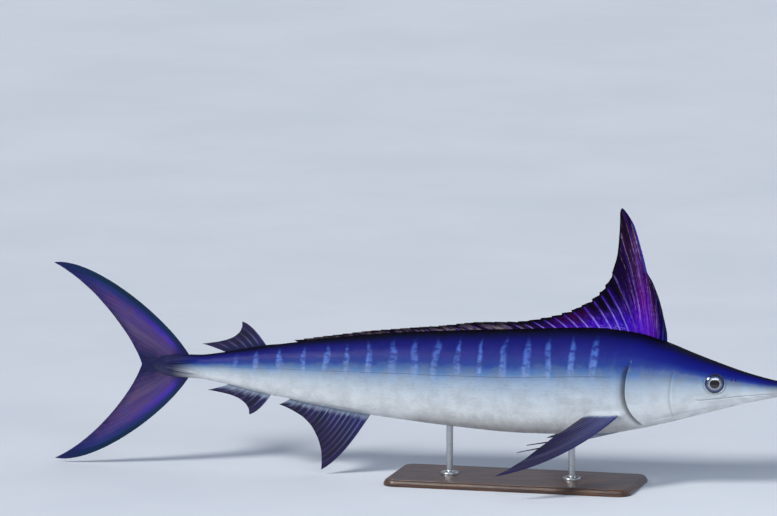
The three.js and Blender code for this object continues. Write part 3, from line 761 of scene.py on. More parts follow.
nostrils = {"spots": [[0.094, 0.0172], [0.0995, 0.0178]], "narrowed": 1.1, "deepMm": 2.4, "rimMm": 0.5}
jawPlate = {"upMm": [5, 15], "outMm": 2}
throat = {"foldsDeg": [54, 64, 74], "deepMm": 1.5}
cheek = {"at": 0.19, "bend": 3.2, "middleLevel": -0.012, "deepMm": 1.6, "swellMm": 0.9}
vent = {"at": 0.628, "radiusMm": 5, "deepMm": 3, "rimMm": 1.2}
finRidges = [  # on the back or not, front, rear, half width and height in mm
    [True, 0.205, 0.755, 9, 2.6],
    [True, 0.8, 0.862, 6, 2.4],
    [False, 0.642, 0.765, 7, 2.6],
    [False, 0.792, 0.855, 6, 2.2],
]
finRoots = {"pectoralMm": 5.5, "pelvicMm": 2, "pelvicSpot": [0.272, -0.0655]}
keels = {"at": 0.938, "level": 0.0066, "halfLength": 0.027, "reachMm": 8.5, "halfThickMm": 3.8, "slopeDeg": 6}


def mouthLevel(at):
    start = bottomOf(0)
    share = np.clip(at, 0, None) / mouth["corner"]
    return start + (mouth["cornerLevel"] - start) * share ** 1.2


def columnTurns(at):
    # turns from the ridge to the belly on one ring, close together along the mouth
    fineTurns = np.linspace(math.pi / 2, -math.pi / 2, 600)
    gaps = np.linalg.norm(np.diff(skinAt(at, fineTurns), axis=0), axis=1) * 1000
    length = np.concatenate([[0], np.cumsum(gaps)])
    level = mouthLevel(min(at, mouth["corner"])) if at > 0 else bottomOf(at)
    mouthTurn = max(float(turnAt(at, level)), math.radians(mouth["lowestTurnDeg"]))
    slit = np.interp(-mouthTurn, -fineTurns, length)
    offsets = np.array([offset for offset, _ in mouth["fold"]])
    scale = min(1, (length[-1] - slit) / (3 * offsets[0]), slit / (4 * offsets[0]))
    room = offsets[0] * scale
    above = np.linspace(0, slit - room, body["aboveMouth"], endpoint=False)
    below = np.linspace(slit + room, length[-1], body["belowMouth"] + 1)[1:]
    tight = np.concatenate([above, slit - offsets * scale, below])
    even = np.linspace(0, length[-1], len(tight))
    return np.interp(tight + (even - tight) * smoothStep(at, *mouth["columnsFreed"]), length, fineTurns)


def gillAt(turn):
    # the gill opening's place for each turn
    level = sharesOf(skinAt(gill["at"], turn))[1] - gill["middleLevel"]
    bend = np.where(level > 0, gill["bendAbove"], gill["bendBelow"])
    return np.maximum(gill["at"] - bend * level ** 2, gill["foremost"])


def gillOpen(turn):
    return window(np.degrees(turn), *gill["openDeg"])


def mouthRelief(at, turns):
    # lips and slit, in mm, on the columns that follow the mouth
    fold = np.zeros(turns.shape[1])
    first = body["aboveMouth"]
    fold[first:first + len(mouth["fold"])] = [height for _, height in mouth["fold"]]
    return fold[None, :] * window(at, *mouth["lips"])[:, None]


def skinRelief(at, turns, ringU):
    # how far the skin stands out, in mm, and how much painted shade it gets in creases and hollows
    place = skinAt(at, turns)
    level = sharesOf(place)[1]
    # jawbone over the mouth's rear half
    aboveMouth = (level - mouthLevel(at)) / mm
    low, high = jawPlate["upMm"]
    width = low + (high - low) * smoothStep(at, 0.09, mouth["corner"])
    plate = smoothStep(aboveMouth, 3, 5) * (1 - smoothStep(aboveMouth, width - 1.5, width + 1.5))
    relief = jawPlate["outMm"] * plate * window(at, 0.075, 0.1, 0.15, 0.155)
    plateEdge = bell(aboveMouth - width, 1.2) * window(at, 0.08, 0.11, 0.148, 0.154)
    # folds under the throat
    underThroat = smoothStep(at, 0.11, 0.14) * (1 - smoothStep(ringU, 0.222, 0.238))[:, None]
    throatFolds = sum(bell(-np.degrees(turns) - angle, 1.5) for angle in throat["foldsDeg"]) * underThroat
    relief -= throat["deepMm"] * throatFolds
    # lower jaw's tip
    relief += 2.4 * (aboveMouth < 0) * window(at, -0.0005, 0.003, 0.012, 0.05)
    # eye sockets
    away = awayFrom(eye["spot"], place, *eye["radiiMm"][:2])
    nearEye = place[..., 1] > 0
    relief += nearEye * eye["moundMm"] * (1 - smoothStep(away, 1.0, 1.62))
    relief -= nearEye * eye["socketMm"] * (1 - smoothStep(away, 0.84, 0.93))
    # painted shade along the jaw plate's edge, in the throat folds and over the eye socket
    paintedShade = np.maximum(0.3 * plateEdge, 0.16 * throatFolds)
    paintedShade = np.maximum(paintedShade, nearEye * 0.42 * (1 - smoothStep(away, 1.03, 1.14)))
    for spot in nostrils["spots"]:
        away = awayFrom(spot, place, 1 / nostrils["narrowed"], 1)
        relief += nostrils["rimMm"] * bell(away - 5.4, 1.8) - nostrils["deepMm"] * bell(away, 3.1)
        # painted shade in the nostril pit
        paintedShade = np.maximum(paintedShade, np.minimum(1, 1.5 * bell(away, 2.5)))
    # cheek plate in front of the gill cover
    cheekLine = cheek["at"] - cheek["bend"] * (level - cheek["middleLevel"]) ** 2
    onCheek = window(level, -0.048, -0.034, 0.02, 0.034)
    behindCheek = (at - cheekLine) / mm
    relief += onCheek * cheek["swellMm"] * bell(behindCheek + 9, 7)
    relief -= onCheek * cheek["deepMm"] * bell(behindCheek, 2.6)
    # painted shade in the groove at the cheek plate's rear edge
    paintedShade = np.maximum(paintedShade, onCheek * bell(behindCheek, 2.2) * 0.35)
    # gill cover, lifted towards its rear edge
    lifted = smoothStep(ringU, gill["coverFront"], gill["at"]) * (ringU < gill["at"] - 12.5 * mm)
    relief += gill["coverLiftMm"] * lifted[:, None] * gillOpen(turns)
    # low ridges that the fins stand on
    across = place[..., 1] * 1000
    isBack = turns > 0
    for onBack, front, rear, width, height in finRidges:
        along = window(at, front - 0.012, front + 0.006, rear - 0.006, rear + 0.012)
        relief += height * along * bell(across, width) * (isBack == onBack)
    # fleshy roots of the paired fins
    nearRoot = at < 0.36
    fromRoot = np.linalg.norm(place[nearRoot][:, None] - pectoralRoot(), axis=-1).min(axis=1) * 1000
    relief[nearRoot] += finRoots["pectoralMm"] * bell(fromRoot, 10)
    along = (at - finRoots["pelvicSpot"][0]) / 0.012
    up = (level - finRoots["pelvicSpot"][1]) / (7 * mm)
    relief += finRoots["pelvicMm"] * np.exp(-along ** 4 - up ** 2)
    fromVent = np.hypot((at - vent["at"]) / mm, across) * (1 - isBack) + 99 * isBack
    relief += vent["rimMm"] * bell(fromVent - 9, 4) - vent["deepMm"] * bell(fromVent, vent["radiusMm"])
    # painted shade in the vent
    paintedShade = np.maximum(paintedShade, bell(fromVent, vent["radiusMm"]) * 0.6)
    return relief, paintedShade


def keelReach(place):
    # how far the two keels stand out at each place, in metres
    fromKeel = fish["jawTipX"] - keels["at"] * fish["length"] - place[..., 0]
    along = fromKeel / (keels["halfLength"] * fish["length"])
    slope = math.tan(math.radians(keels["slopeDeg"]))
    reach = np.zeros(along.shape)
    for upper in (-1, 1):
        height = place[..., 2] - fish["axisHeight"] - upper * keels["level"] * fish["length"]
        up = (height + upper * slope * fromKeel) / (keels["halfThickMm"] / 1000)
        inside = np.clip(1 - along ** 2, 0, 1) ** 1.4 * np.exp(-np.abs(up) ** 2)
        reach = np.maximum(reach, keels["reachMm"] / 1000 * inside)
    return reach


def bodySkin():
    rings = spread(body["ringSpots"], body["ringSteps"]) * mm
    fold = gill["fold"]
    low, high = gill["at"] + (fold[0][0] - 2) * mm, gill["at"] + (fold[-1][0] + 3) * mm
    ahead, behind = rings[rings < low], rings[rings > high]
    flat = [gill["at"] + f[0] * mm for f in fold]
    ringU = np.concatenate([ahead, flat, behind])
    turns = np.array([columnTurns(u) for u in ringU])
    toGill = smoothStep(ringU, 0.16, gill["at"]) * (1 - smoothStep(ringU, gill["at"], 0.34))
    at = ringU[:, None] + (gillAt(turns) - gill["at"]) * toGill[:, None]
    # the skin's end runs on to the tail fin in a curve
    at = at - 0.02 * smoothStep(ringU, 0.94, 0.984)[:, None] * np.sin(turns) ** 2
    opened = gillOpen(turns)
    folded = np.zeros(at.shape)
    for ring, (flatMm, foldMm, outMm) in enumerate(fold, len(ahead)):
        at[ring] += (foldMm - flatMm) * mm * opened[ring]
        folded[ring] = outMm * opened[ring]
    relief, paintedShade = skinRelief(at, turns, ringU)
    lips = mouthRelief(ringU, turns)
    # painted shade in the mouth slit and in the gap under the lifted gill cover
    paintedShade = np.maximum(paintedShade, smoothStep(-lips, 1.5, 6))
    paintedShade = np.maximum(paintedShade, smoothStep(-folded, 0.5, 4.5) * 0.9)
    place = skinAt(at, turns) + skinNormal(at, turns) * (relief + folded + lips)[..., None] / 1000
    place[..., 1] += keelReach(place)
    place[:, [0, -1], 1] = 0
    points, faces = tube(np.concatenate([place, flipped(place[:, -2:0:-1])], axis=1))
    values = {}
    for title, left in {"along": at, "round": roundShare(turns), "paintedShade": paintedShade}.items():
        whole = np.concatenate([left, left[:, -2:0:-1]], axis=1)
        values[title] = np.concatenate([whole.ravel(), [whole[0].mean(), whole[-1].mean()]])
    handIn(newPiece("body_skin", points, faces, finishes["skin"], values), [
        "bill", "lower_jaw", "head", "gill_cover_left", "gill_cover_right", "torso_front", "torso_rear",
        "tail_stem",
    ])
    print("skin")


def eyeRim(word, side):
    # a soft rim of skin that laps on to the eye
    middle, outward, rearward, upward = sideSpot(*eye["spot"])
    around = np.linspace(0, 2 * math.pi, 120, endpoint=False)
    rings, at, height = [], [], []
    for share, outMm in eye["rim"]:
        spot = middle + np.outer(np.cos(around) * share * eye["radiiMm"][0] / 1000, rearward)
        spot = spot + np.outer(np.sin(around) * share * eye["radiiMm"][1] / 1000, upward)
        spotAt, spotLevel = sharesOf(spot)
        spotTurn = turnAt(spotAt, spotLevel)
        rings.append(skinAt(spotAt, spotTurn) + skinNormal(spotAt, spotTurn) * outMm / 1000)
        at.append(spotAt)
        height.append(roundShare(spotTurn))
    under = outward * eye["rimUnderMm"] / 1000
    rings = np.array(rings + [rings[-1] - under, rings[0] - under])
    at, height = (np.array(values + [values[-1], values[0]]) for values in (at, height))
    index = np.arange(rings.shape[0] * len(around)).reshape(rings.shape[:2])
    index = np.concatenate([index, index[:1]], axis=0)
    index = np.concatenate([index, index[:, :1]], axis=1)
    shares = np.array([share for share, _ in eye["rim"]] + [2, 0])
    # painted shade along the rim's inner edge against the eye and where its outer edge meets the skin
    dark = 0.75 * (1 - smoothStep(shares, 0.84, 0.9)) + 0.42 * smoothStep(shares, 0.97, 1.02)
    values = {"along": at, "round": height, "paintedShade": np.broadcast_to(dark[:, None], at.shape)}
    points = rings if side > 0 else flipped(rings)
    handIn(newPiece(f"eye_rim_{word}", points, [quadsOver(index)], finishes["skin"], values))


def eyeBall(word, side):
    middle, outward, rearward, upward = sideSpot(*eye["spot"])
    middle = middle - outward * eye["sunkMm"] / 1000
    tilt = np.linspace(0, math.pi, 50)[1:-1, None]
    around = np.linspace(0, 2 * math.pi, 72, endpoint=False)[None, :]
    along, up, out = (r / 1000 for r in eye["radiiMm"])
    rings = middle + outward * (out * np.cos(tilt) * np.ones(around.shape))[..., None]
    rings = rings + rearward * (along * np.sin(tilt) * np.cos(around))[..., None]
    rings = rings + upward * (up * np.sin(tilt) * np.sin(around))[..., None]
    points, faces = tube(rings, [middle + outward * out, middle - outward * out])
    sight = np.broadcast_to(np.minimum(tilt / (0.35 * math.pi), 1), rings.shape[:2])
    sight = np.concatenate([sight.ravel(), [0, 1]])
    points = points if side > 0 else flipped(points)
    piece = newPiece(f"eye_{word}_ball", points, faces, finishes["eye"], {"sight": sight})
    handIn(piece, [f"eye_{word}"])


# Fins

tailFin = {
    "rays": 27,
    "straightens": 1,
    "leading": [[0.928, 0.0165], [0.965, 0.075], [1.077, 0.158], [1.1353, 0.1474]],
    "trailing": [[1.1353, 0.1474], [1.085, 0.125], [1.02, 0.055], [1, -0.0006]],
    "rootRear": [0.952, -0.0006],
    "frontRays": 0.9,
    "edgeHalfMm": 8,
    "rows": 56,
    "columnsPerRay": 6,
    "waveMm": 1.2,
    "seed": 1,
}
secondDorsal = {
    "rays": 7,
    "leading": [[0.803, 0.026], [0.818, 0.05], [0.832, 0.067], [0.846, 0.0705]],
    "trailing": [[0.846, 0.0705], [0.845, 0.05], [0.862, 0.04], [0.908, 0.0345]],
    "rootRear": [0.858, 0.018],
    "frontRays": 0.35,
    "edgeHalfMm": 3,
    "rows": 34,
    "waveMm": 1.5,
    "seed": 3,
}
firstAnal = {
    "rays": 16,
    "leading": [[0.645, -0.052], [0.668, -0.088], [0.695, -0.13], [0.726, -0.147]],
    "trailing": [[0.726, -0.147], [0.722, -0.1], [0.738, -0.068], [0.79, -0.0515]],
    "rootRear": [0.76, -0.035],
    "frontRays": 0.7,
    "edgeHalfMm": 5,
    "rows": 40,
    "waveMm": 2,
    "seed": 4,
}
secondAnal = {
    "rays": 7,
    "leading": [[0.795, -0.026], [0.808, -0.048], [0.822, -0.065], [0.836, -0.069]],
    "trailing": [[0.836, -0.069], [0.836, -0.049], [0.852, -0.04], [0.9, -0.0345]],
    "rootRear": [0.85, -0.018],
    "frontRays": 0.35,
    "edgeHalfMm": 3,
    "rows": 34,
    "waveMm": 1.5,
    "seed": 5,
}
pectoral = {
    "rays": 20,
    "leading": [[-0.012, -0.002], [0.065, -0.008], [0.15, 0.012], [0.205, 0.06]],
    "trailing": [[0.205, 0.06], [0.155, 0.045], [0.062, 0.048], [-0.012, 0.034]],
    "rootRear": [-0.012, 0.034],
    "frontRays": 1.3,
    "edgeHalfMm": 5,
    "rows": 56,
    "spot": [0.268, -0.0385],
    "reach": [-0.5, 0.74, -0.45],
    "waveMm": 2,
    "seed": 6,
}
finEdge = {"spots": [0, 0.04, 0.12, 0.25, 0.45, 0.7, 1], "acrossRays": 0.35, "alongOut": 0.016}


def roundedOff(depth):
    # how full a rounded edge is, from 0 at the edge to 1 where it ends
    return np.maximum(np.sqrt(1 - (1 - np.clip(depth, 0, 1)) ** 2), 0.12)


def finSheet(name, fin, rayNumbers, path, side, halves, finish, wave, reach=None, branch=True):
    # a thin closed sheet with its rays standing up on both faces
    edge = np.array(finEdge["spots"])
    end = fin["rays"] - 1
    front, last, rim = fin["frontRays"], finEdge["acrossRays"], finEdge["alongOut"]
    inner = rayNumbers[(rayNumbers > front) & (rayNumbers < end - last)]
    numbers = np.concatenate([edge * front, inner, end - edge[::-1] * last])[:, None]
    rows = np.linspace(0, 1 - rim, fin["rows"], endpoint=False)
    out = np.concatenate([rows, 1 - edge[::-1] * rim])[None, :]
    numbers, out = np.broadcast_arrays(numbers, out)
    reached = out if reach is None else out * reach(numbers)
    share = numbers / end
    between = np.abs(numbers - np.round(numbers))
    rib = bell(between, 0.17)
    if branch:
        split = smoothStep(out, 0.35, 0.6)
        rib = rib * (1 - 0.6 * split) + 0.6 * split * bell(between - 0.22, 0.1)
    web, ray = halves
    half = (web(share, out) + (ray(share, out) - web(share, out)) * rib) / 1000
    for depth in (numbers / front, (end - numbers) / last, (1 - out) / rim):
        half = half * roundedOff(depth)
    middle = path(share, reached) + side * wave(numbers, out)[..., None] / 1000
    border = np.concatenate([middle[:, -1], middle[0]])
    fromEdge = [np.linalg.norm(line[:, None] - border, axis=-1).min(axis=1) * 1000 for line in middle]
    columns, count = numbers.shape
    faces = np.concatenate([middle + side * half[..., None], middle - side * half[..., None]])
    index = np.arange(columns * count).reshape(columns, count)
    loop = np.concatenate([index[:-1, 0], index[-1, :-1], index[:0:-1, -1], index[0, :0:-1]])
    loop = np.append(loop, loop[0])
    back = columns * count
    walls = quadsOver(np.stack([loop, loop + back]))
    quads = np.concatenate([quadsOver(index), quadsOver(index + back)[:, ::-1], walls])
    values = {
        "ray": numbers, "share": share, "out": out, "fromEdge": np.array(fromEdge), "clear": clearOf(middle),
    }
    values = {title: np.tile(one.ravel(), 2) for title, one in values.items()}
    return newPiece(name, faces, [quads], finish, values)


def cubic(points, t):
    a, b, c, d = np.array(points, float)
    t = np.asarray(t)[..., None]
    return a * (1 - t) ** 3 + 3 * b * t * (1 - t) ** 2 + 3 * c * t * t * (1 - t) + d * t ** 3


def drawnPath(fin, toSpace):
    # rays fan from the root to the trailing edge, and each keeps some of the leading edge's bend
    start = np.array(fin["leading"][0])
    chord = np.array(fin["leading"][3]) - start
    aside = np.array([-chord[1], chord[0]])

    def path(share, out):
        onLeading = cubic(fin["leading"], out) - start
        along = onLeading @ chord / (chord @ chord)
        bend = onLeading @ aside / (chord @ chord) * (1 - fin.get("straightens", 0.75) * share)
        root = start + (np.array(fin["rootRear"]) - start) * share[..., None]
        ray = cubic(fin["trailing"], share) - root
        rayAside = np.stack([-ray[..., 1], ray[..., 0]], axis=-1)
        return toSpace(root + ray * along[..., None] + rayAside * bend[..., None])

    return path


def drawnHalves(fin):
    # half thicknesses of web and rays, in mm
    def halfOf(rootShare, tip):
        rootMm = rootShare * fin["edgeHalfMm"]

        def half(share, out):
            full = rootMm + (fin["edgeHalfMm"] - rootMm) * (1 - share) ** 5
            return full + (tip - full) * out ** 1.3

        return half

    web, thick = halfOf(0.3, 0.5), halfOf(0.44, 0.8)

    def ray(share, out):
        return web(share, out) + (thick(share, out) - web(share, out)) * smoothStep(out, 0.05, 0.34)

    return web, ray


def gentleWave(fin):
    raysPerWave = fin["rays"] / 2.2

    def wave(ray, out):
        slow = np.sin(2 * math.pi * (ray / raysPerWave + 0.13 * fin["seed"]) + 2.2 * out)
        quick = 0.35 * np.sin(2 * math.pi * (ray / (0.37 * raysPerWave) + 0.41 * fin["seed"]) - 3 * out)
        return fin["waveMm"] * out ** 1.5 * (slow + quick)

    return wave


def drawnFin(name, node, fin, toSpace, side=(0, 1, 0), finish="smallFins", slot="small_fins"):
    end = fin["rays"] - 1
    numbers = np.linspace(0, end, fin.get("columnsPerRay", 8) * end + 1)
    path = drawnPath(fin, toSpace)
    piece = finSheet(
        name, fin, numbers, path, np.array(side), drawnHalves(fin), finishes[finish], gentleWave(fin))
    handIn(piece, [node])


def upright(place):
    return inPlace(place[..., 0], 0, place[..., 1])


def hanging(place):
    return inPlace(place[..., 0], 0, -place[..., 1])


def pectoralSpace(side):
    spot = sideSpot(*pectoral["spot"])[0]
    reach = unit(np.array(pectoral["reach"]))
    back = np.array([-1.0, 0, 0])
    back = unit(back - reach * (back @ reach))
    handed = np.array([1, side, 1])

    def toSpace(place):
        return (spot + (reach * place[..., :1] + back * place[..., 1:]) * fish["length"]) * handed

    return toSpace, np.cross(reach, back) * handed


def pectoralRoot():
    # where the left pectoral fin passes through the skin
    path = drawnPath(pectoral, pectoralSpace(1)[0])
    share, out = np.meshgrid(np.linspace(0, 1, 30), np.linspace(0, 0.5, 200), indexing="ij")
    place = path(share, out)
    return place[np.arange(len(place)), np.argmax(clearOf(place) > 0, axis=1)]


bodySkin()
for word, side in sides.items():
    eyeRim(word, side)
    eyeBall(word, side)
print("eyes")

drawnFin("tail_lobe_upper", "tail_fin_upper", tailFin, upright, finish="tail", slot="tail_fin")
drawnFin("tail_lobe_lower", "tail_fin_lower", tailFin, hanging, finish="tail", slot="tail_fin")
drawnFin("second_dorsal", "dorsal_fin_second", secondDorsal, upright)
drawnFin("first_anal", "anal_fin_first", firstAnal, upright)
drawnFin("second_anal", "anal_fin_second", secondAnal, upright)
for word, side in sides.items():
    drawnFin(f"pectoral_{word}", f"pectoral_fin_{word}", pectoral, *pectoralSpace(side))
print("drawn fins")

dorsal = {
    "rays": 40,
    # for ray numbers: the place of the root, the length, and the lean back in degrees
    "places": [
        [0, 0.202], [4, 0.2292], [6, 0.2454], [7, 0.2572], [8, 0.2695], [9, 0.2822], [10, 0.299],
        [11, 0.3155], [12, 0.3305], [13, 0.3465], [39, 0.755],
    ],
    "lengths": [
        [0, 0.0145], [1, 0.0458], [2, 0.0843], [2.5, 0.1028], [3, 0.132], [3.5, 0.1626], [3.8, 0.1795],
        [4, 0.1924], [4.2, 0.1872], [4.5, 0.171], [5, 0.1478], [5.5, 0.1194], [6, 0.0965], [7, 0.0767],
        [8, 0.0635], [9, 0.0536], [10, 0.0442], [11, 0.0383], [12, 0.0353], [13, 0.033], [16, 0.0345],
        [19.5, 0.0385], [24, 0.0285], [39, 0.012],
    ],
    "leans": [
        [0, 0], [1, 1.2], [2, 5.8], [2.5, 8.6], [3, 8.4], [3.5, 8.8], [3.8, 10.2], [4, 12.2], [4.2, 13],
        [4.5, 13.6], [5, 14.8], [5.5, 18.1], [6, 24.2], [7, 29.9], [8, 33.2], [9, 38.8], [10, 45.6],
        [11, 54], [12, 59.1], [13, 63.3], [16, 73], [39, 80],
    ],
    # the line that the first rays' lengths are measured from
    "line": [[0.165, 0.0535], [0.202, 0.067], [0.25, 0.08], [0.305, 0.0862], [0.42, 0.081], [0.52, 0.0745]],
    "lineRays": [11, 16],
    "bow": 0.035,
    "sunkMm": 12,
    "frontRays": 0.35,
    "notchMm": [9, 5],
    "notchRays": [4.4, 6.8],
    "webMm": [1.2, 0.5],
    "rayMm": [2.4, 0.9],
    "frontMm": 3,
    "rows": 44,
    "raySides": 8,
    "rayPoints": 34,
    "seed": 11,
}
dorsalPlace, dorsalLength, dorsalLean, dorsalLine = (
    curveThrough(dorsal[title]) for title in ("places", "lengths", "leans", "line"))


def dorsalPath(share, out):
    ray = share * (dorsal["rays"] - 1)
    at = dorsalPlace(ray)
    length = dorsalLength(ray)
    lean = np.radians(dorsalLean(ray))
    line = dorsalLine(at) + (topOf(at) - dorsalLine(at)) * smoothStep(ray, *dorsal["lineRays"])
    upward = np.stack([np.sin(lean), np.cos(lean)], axis=-1)
    forward = np.stack([-np.cos(lean), np.sin(lean)], axis=-1)
    tip = np.stack([at, line], axis=-1) + upward * length[..., None]
    root = np.stack([at, topOf(at) - dorsal["sunkMm"] * mm], axis=-1)
    middle = (root + tip) / 2 + forward * (2 * dorsal["bow"] * length)[..., None]
    t = out[..., None]
    return upright(root * (1 - t) ** 2 + middle * 2 * t * (1 - t) + tip * t * t)


def dorsalReach(ray):
    # the membrane is torn back behind each ray, most just behind it
    end = dorsal["rays"] - 1
    rng = np.random.default_rng(dorsal["seed"])
    fineRays = np.linspace(0, end, end * 5 + 1)
    ragged = rng.uniform(-1, 1, len(fineRays))
    depths = rng.uniform(0.6, 1.25, dorsal["rays"])
    share = ray / end
    first, last = dorsal["notchMm"]
    behind = ray - np.floor(ray)
    shape = 0.12 + 0.88 * (1 - behind) ** 1.3 * smoothStep(behind, -0.02, 0.15)
    cut = (first + (last - first) * share) * shape * depths[np.clip(np.floor(ray).astype(int), 0, end)]
    cut = cut + 0.8 * np.interp(ray, fineRays, ragged) * (1 - 0.5 * share)
    return 1 - smoothStep(ray, *dorsal["notchRays"]) * cut * mm / dorsalLength(ray)


def dorsalWave(ray, out):
    lean = np.random.default_rng(dorsal["seed"] + 1).uniform(-1, 1, dorsal["rays"])
    swing = np.interp(ray, np.arange(dorsal["rays"]), lean)
    sag = np.sin(math.pi * (ray - np.floor(ray))) ** 2 * np.where(np.floor(ray) % 2 > 0, 1, -1)
    return out ** 1.4 * (1.6 * swing + 0.8 * sag) * smoothStep(ray, 2, 6)


def dorsalHalf(rootMm, tipMm):
    # half the thickness, which is most at the root of the front rays
    def half(share, out):
        root = rootMm + dorsal["frontMm"] * np.clip(1 - share * (dorsal["rays"] - 1) / 5, 0, None)
        return root + (tipMm - root) * out

    return half


def newGeometryTree(name, inputs):
    tree = bpy.data.node_groups.new(name, "GeometryNodeTree")
    for title, kind in {"Geometry": "Geometry", **inputs, "Finish": "Material"}.items():
        tree.interface.new_socket(name=title, in_out="INPUT", socket_type="NodeSocket" + kind)
    tree.interface.new_socket(name="Geometry", in_out="OUTPUT", socket_type="NodeSocketGeometry")
    return tree, tree.nodes.new("NodeGroupInput").outputs


def endTree(tree, geometry, finish):
    real = add(tree, "GeometryNodeRealizeInstances", {"Geometry": geometry}).outputs[0]
    done = add(tree, "GeometryNodeSetMaterial", {"Geometry": real, "Material": finish}).outputs[0]
    tree.links.new(done, tree.nodes.new("NodeGroupOutput").inputs[0])
    return tree


def rayTree():
    # round tapered rays along the edges of a mesh
    tree, given = newGeometryTree("finRays", {"Sides": "Int", "Thickness": "Float"})
    curves = add(tree, "GeometryNodeMeshToCurve", {"Mesh": given["Geometry"]}).outputs[0]
    circle = add(tree, "GeometryNodeCurvePrimitiveCircle", {"Resolution": given["Sides"]}).outputs[0]
    named = add(tree, "GeometryNodeInputNamedAttribute", {"Name": "rayRadius"}).outputs["Attribute"]
    radius = add(tree, "ShaderNodeMath", {0: named, 1: given["Thickness"]}, operation="MULTIPLY").outputs[0]
    inputs = {"Curve": curves, "Profile Curve": circle, "Scale": radius, "Fill Caps": True}
    solid = add(tree, "GeometryNodeCurveToMesh", inputs).outputs[0]
    smooth = add(tree, "GeometryNodeSetShadeSmooth", {"Geometry": solid}).outputs[0]
    return endTree(tree, smooth, given["Finish"])


def grown(piece, tree, inputs):
    # runs a node tree on a piece and leaves the result as its plain mesh
    modifier = piece.modifiers.new(tree.name, "NODES")
    modifier.node_group = tree
    for item in tree.interface.items_tree:
        if item.in_out == "INPUT" and item.name in inputs:
            modifier[item.identifier] = inputs[item.name]
    depsgraph = bpy.context.evaluated_depsgraph_get()
    made = bpy.data.meshes.new_from_object(piece.evaluated_get(depsgraph))
    piece.modifiers.remove(modifier)
    piece.data = made
    return piece


def dorsalRays():
    count = dorsal["rayPoints"]
    out = np.linspace(0.05, 1, count)
    points, edges = [], []
    values = {"rayRadius": [], "ray": [], "out": [], "fromEdge": []}
    for ray in range(1, dorsal["rays"]):
        numbers = np.full(count, float(ray))
        share = numbers / (dorsal["rays"] - 1)
        line = dorsalPath(share, out)
        line[:, 1] += dorsalWave(numbers, out) / 1000
        first = len(points) * count
        edges += [[first + i, first + i + 1] for i in range(count - 1)]
        points.append(line)
        start = dorsalHalf(*dorsal["rayMm"])(share, 0) * 0.62 + 0.5
        radius = (start + (0.55 - start) * out ** 0.8) / 1000
        toTip = np.linalg.norm(line - line[-1], axis=1) * 1000
        for title, one in zip(values, [radius, numbers, out, toTip]):
            values[title].append(one)
    piece = placed("dorsal_rays", newMesh("dorsal_rays", np.concatenate(points).tolist(), edges, (), values))
    grown(piece, rayTree(), {"Sides": dorsal["raySides"], "Thickness": 1.0, "Finish": finishes["dorsal"]})
    handIn(piece)


def firstDorsal():
    numbers = spread([0, 16, 18, dorsal["rays"] - 1], [1 / 12, 1 / 12, 1 / 6, 1 / 6])
    halves = dorsalHalf(*dorsal["webMm"]), dorsalHalf(*dorsal["rayMm"])
    piece = finSheet(
        "first_dorsal", dorsal, numbers, dorsalPath, np.array([0, 1, 0]), halves, finishes["dorsal"],
        dorsalWave, dorsalReach, branch=False)
    handIn(piece, ["dorsal_fin_first"])


firstDorsal()
dorsalRays()
print("first dorsal")

pelvic = {
    "at": 0.272,
    "outMm": 14,
    "sunkMm": 6,
    "lengthMm": 345,
    "halfWidthMm": 5.5,
    "halfThickMm": 3,
    "tipShare": 0.22,
    "splayDeg": 9,
    "droopDeg": 15,
    "sagMm": 10,
}


def pelvicFin(word, side):
    # a long ray with a groove on each face, thinning to its tip
    splay, droop = math.radians(pelvic["splayDeg"]), math.radians(pelvic["droopDeg"])
    back = unit(np.array([-math.cos(droop), math.sin(splay), -math.sin(droop)]))
    wide = unit(np.array([0, 0, 1.0]) - back * back[2])
    root = inPlace(pelvic["at"], pelvic["outMm"] * mm, bottomOf(pelvic["at"]) + pelvic["sunkMm"] * mm)
    t = np.linspace(0, 1, 60)[:, None]
    turn = np.linspace(0, 2 * math.pi, 28, endpoint=False)[None, :]
    size = 1 + (pelvic["tipShare"] - 1) * t
    size = size * np.sqrt(1 - np.clip((t - 0.985) / 0.015, 0, 0.98) ** 2)
    groove = 1 - 0.45 * bell(np.cos(turn), 0.22)
    middle = root + back * t[..., None] * pelvic["lengthMm"] / 1000
    middle = middle + np.array([0, 0, 1]) * t[..., None] ** 2 * pelvic["sagMm"] / 1000
    across = pelvic["halfWidthMm"] / 1000 * size * np.cos(turn)
    through = pelvic["halfThickMm"] / 1000 * size * np.sin(turn) * groove
    rings = middle + wide * across[..., None] + np.cross(back, wide) * through[..., None]
    points, faces = tube(rings)
    ray, out = (np.broadcast_to(one, rings.shape[:2]).ravel() for one in (2 + 2 * np.cos(turn), t))
    values = {"ray": np.append(ray, [2, 2]), "out": np.append(out, [0, 1]), "clear": clearOf(points)}
    points = points if side > 0 else flipped(points)
    piece = newPiece(f"pelvic_{word}", points, faces, finishes["smallFins"], values)
    handIn(piece, [f"pelvic_fin_{word}"])


for word, side in sides.items():
    pelvicFin(word, side)
print("pelvic fins")

# Display stand

stand = {
    "cornerMm": 40,
    # from the middle of the underside outwards and up: inset from the outer edge, and height, in mm
    "edge": [
        [1.6, 0], [0.5, 0.4], [0, 1.6], [0, 9], [0.3, 10.2], [1.4, 11], [2.6, 11.2], [3.2, 12], [3.6, 14.5],
        [4.8, 17], [6.8, 19.2], [9.2, 20.6], [11.6, 21.2], [12, 22],
    ],
    "rodRadiusMm": 11,
    # radius and height, in mm
    "collar": [
        [0.02, 0], [30, 0], [30, 4.6], [29.4, 6.2], [28, 7.6], [25.5, 8.7], [22, 9], [14, 9], [12.6, 9.6],
        [11.4, 11.5], [11, 14],
    ],
    "screws": 4,
    "screwCircleMm": 20.5,
    "screwHeightMm": 8.8,
    "screwRadiusMm": 3.2,
    "screwFlatness": 0.55,
}


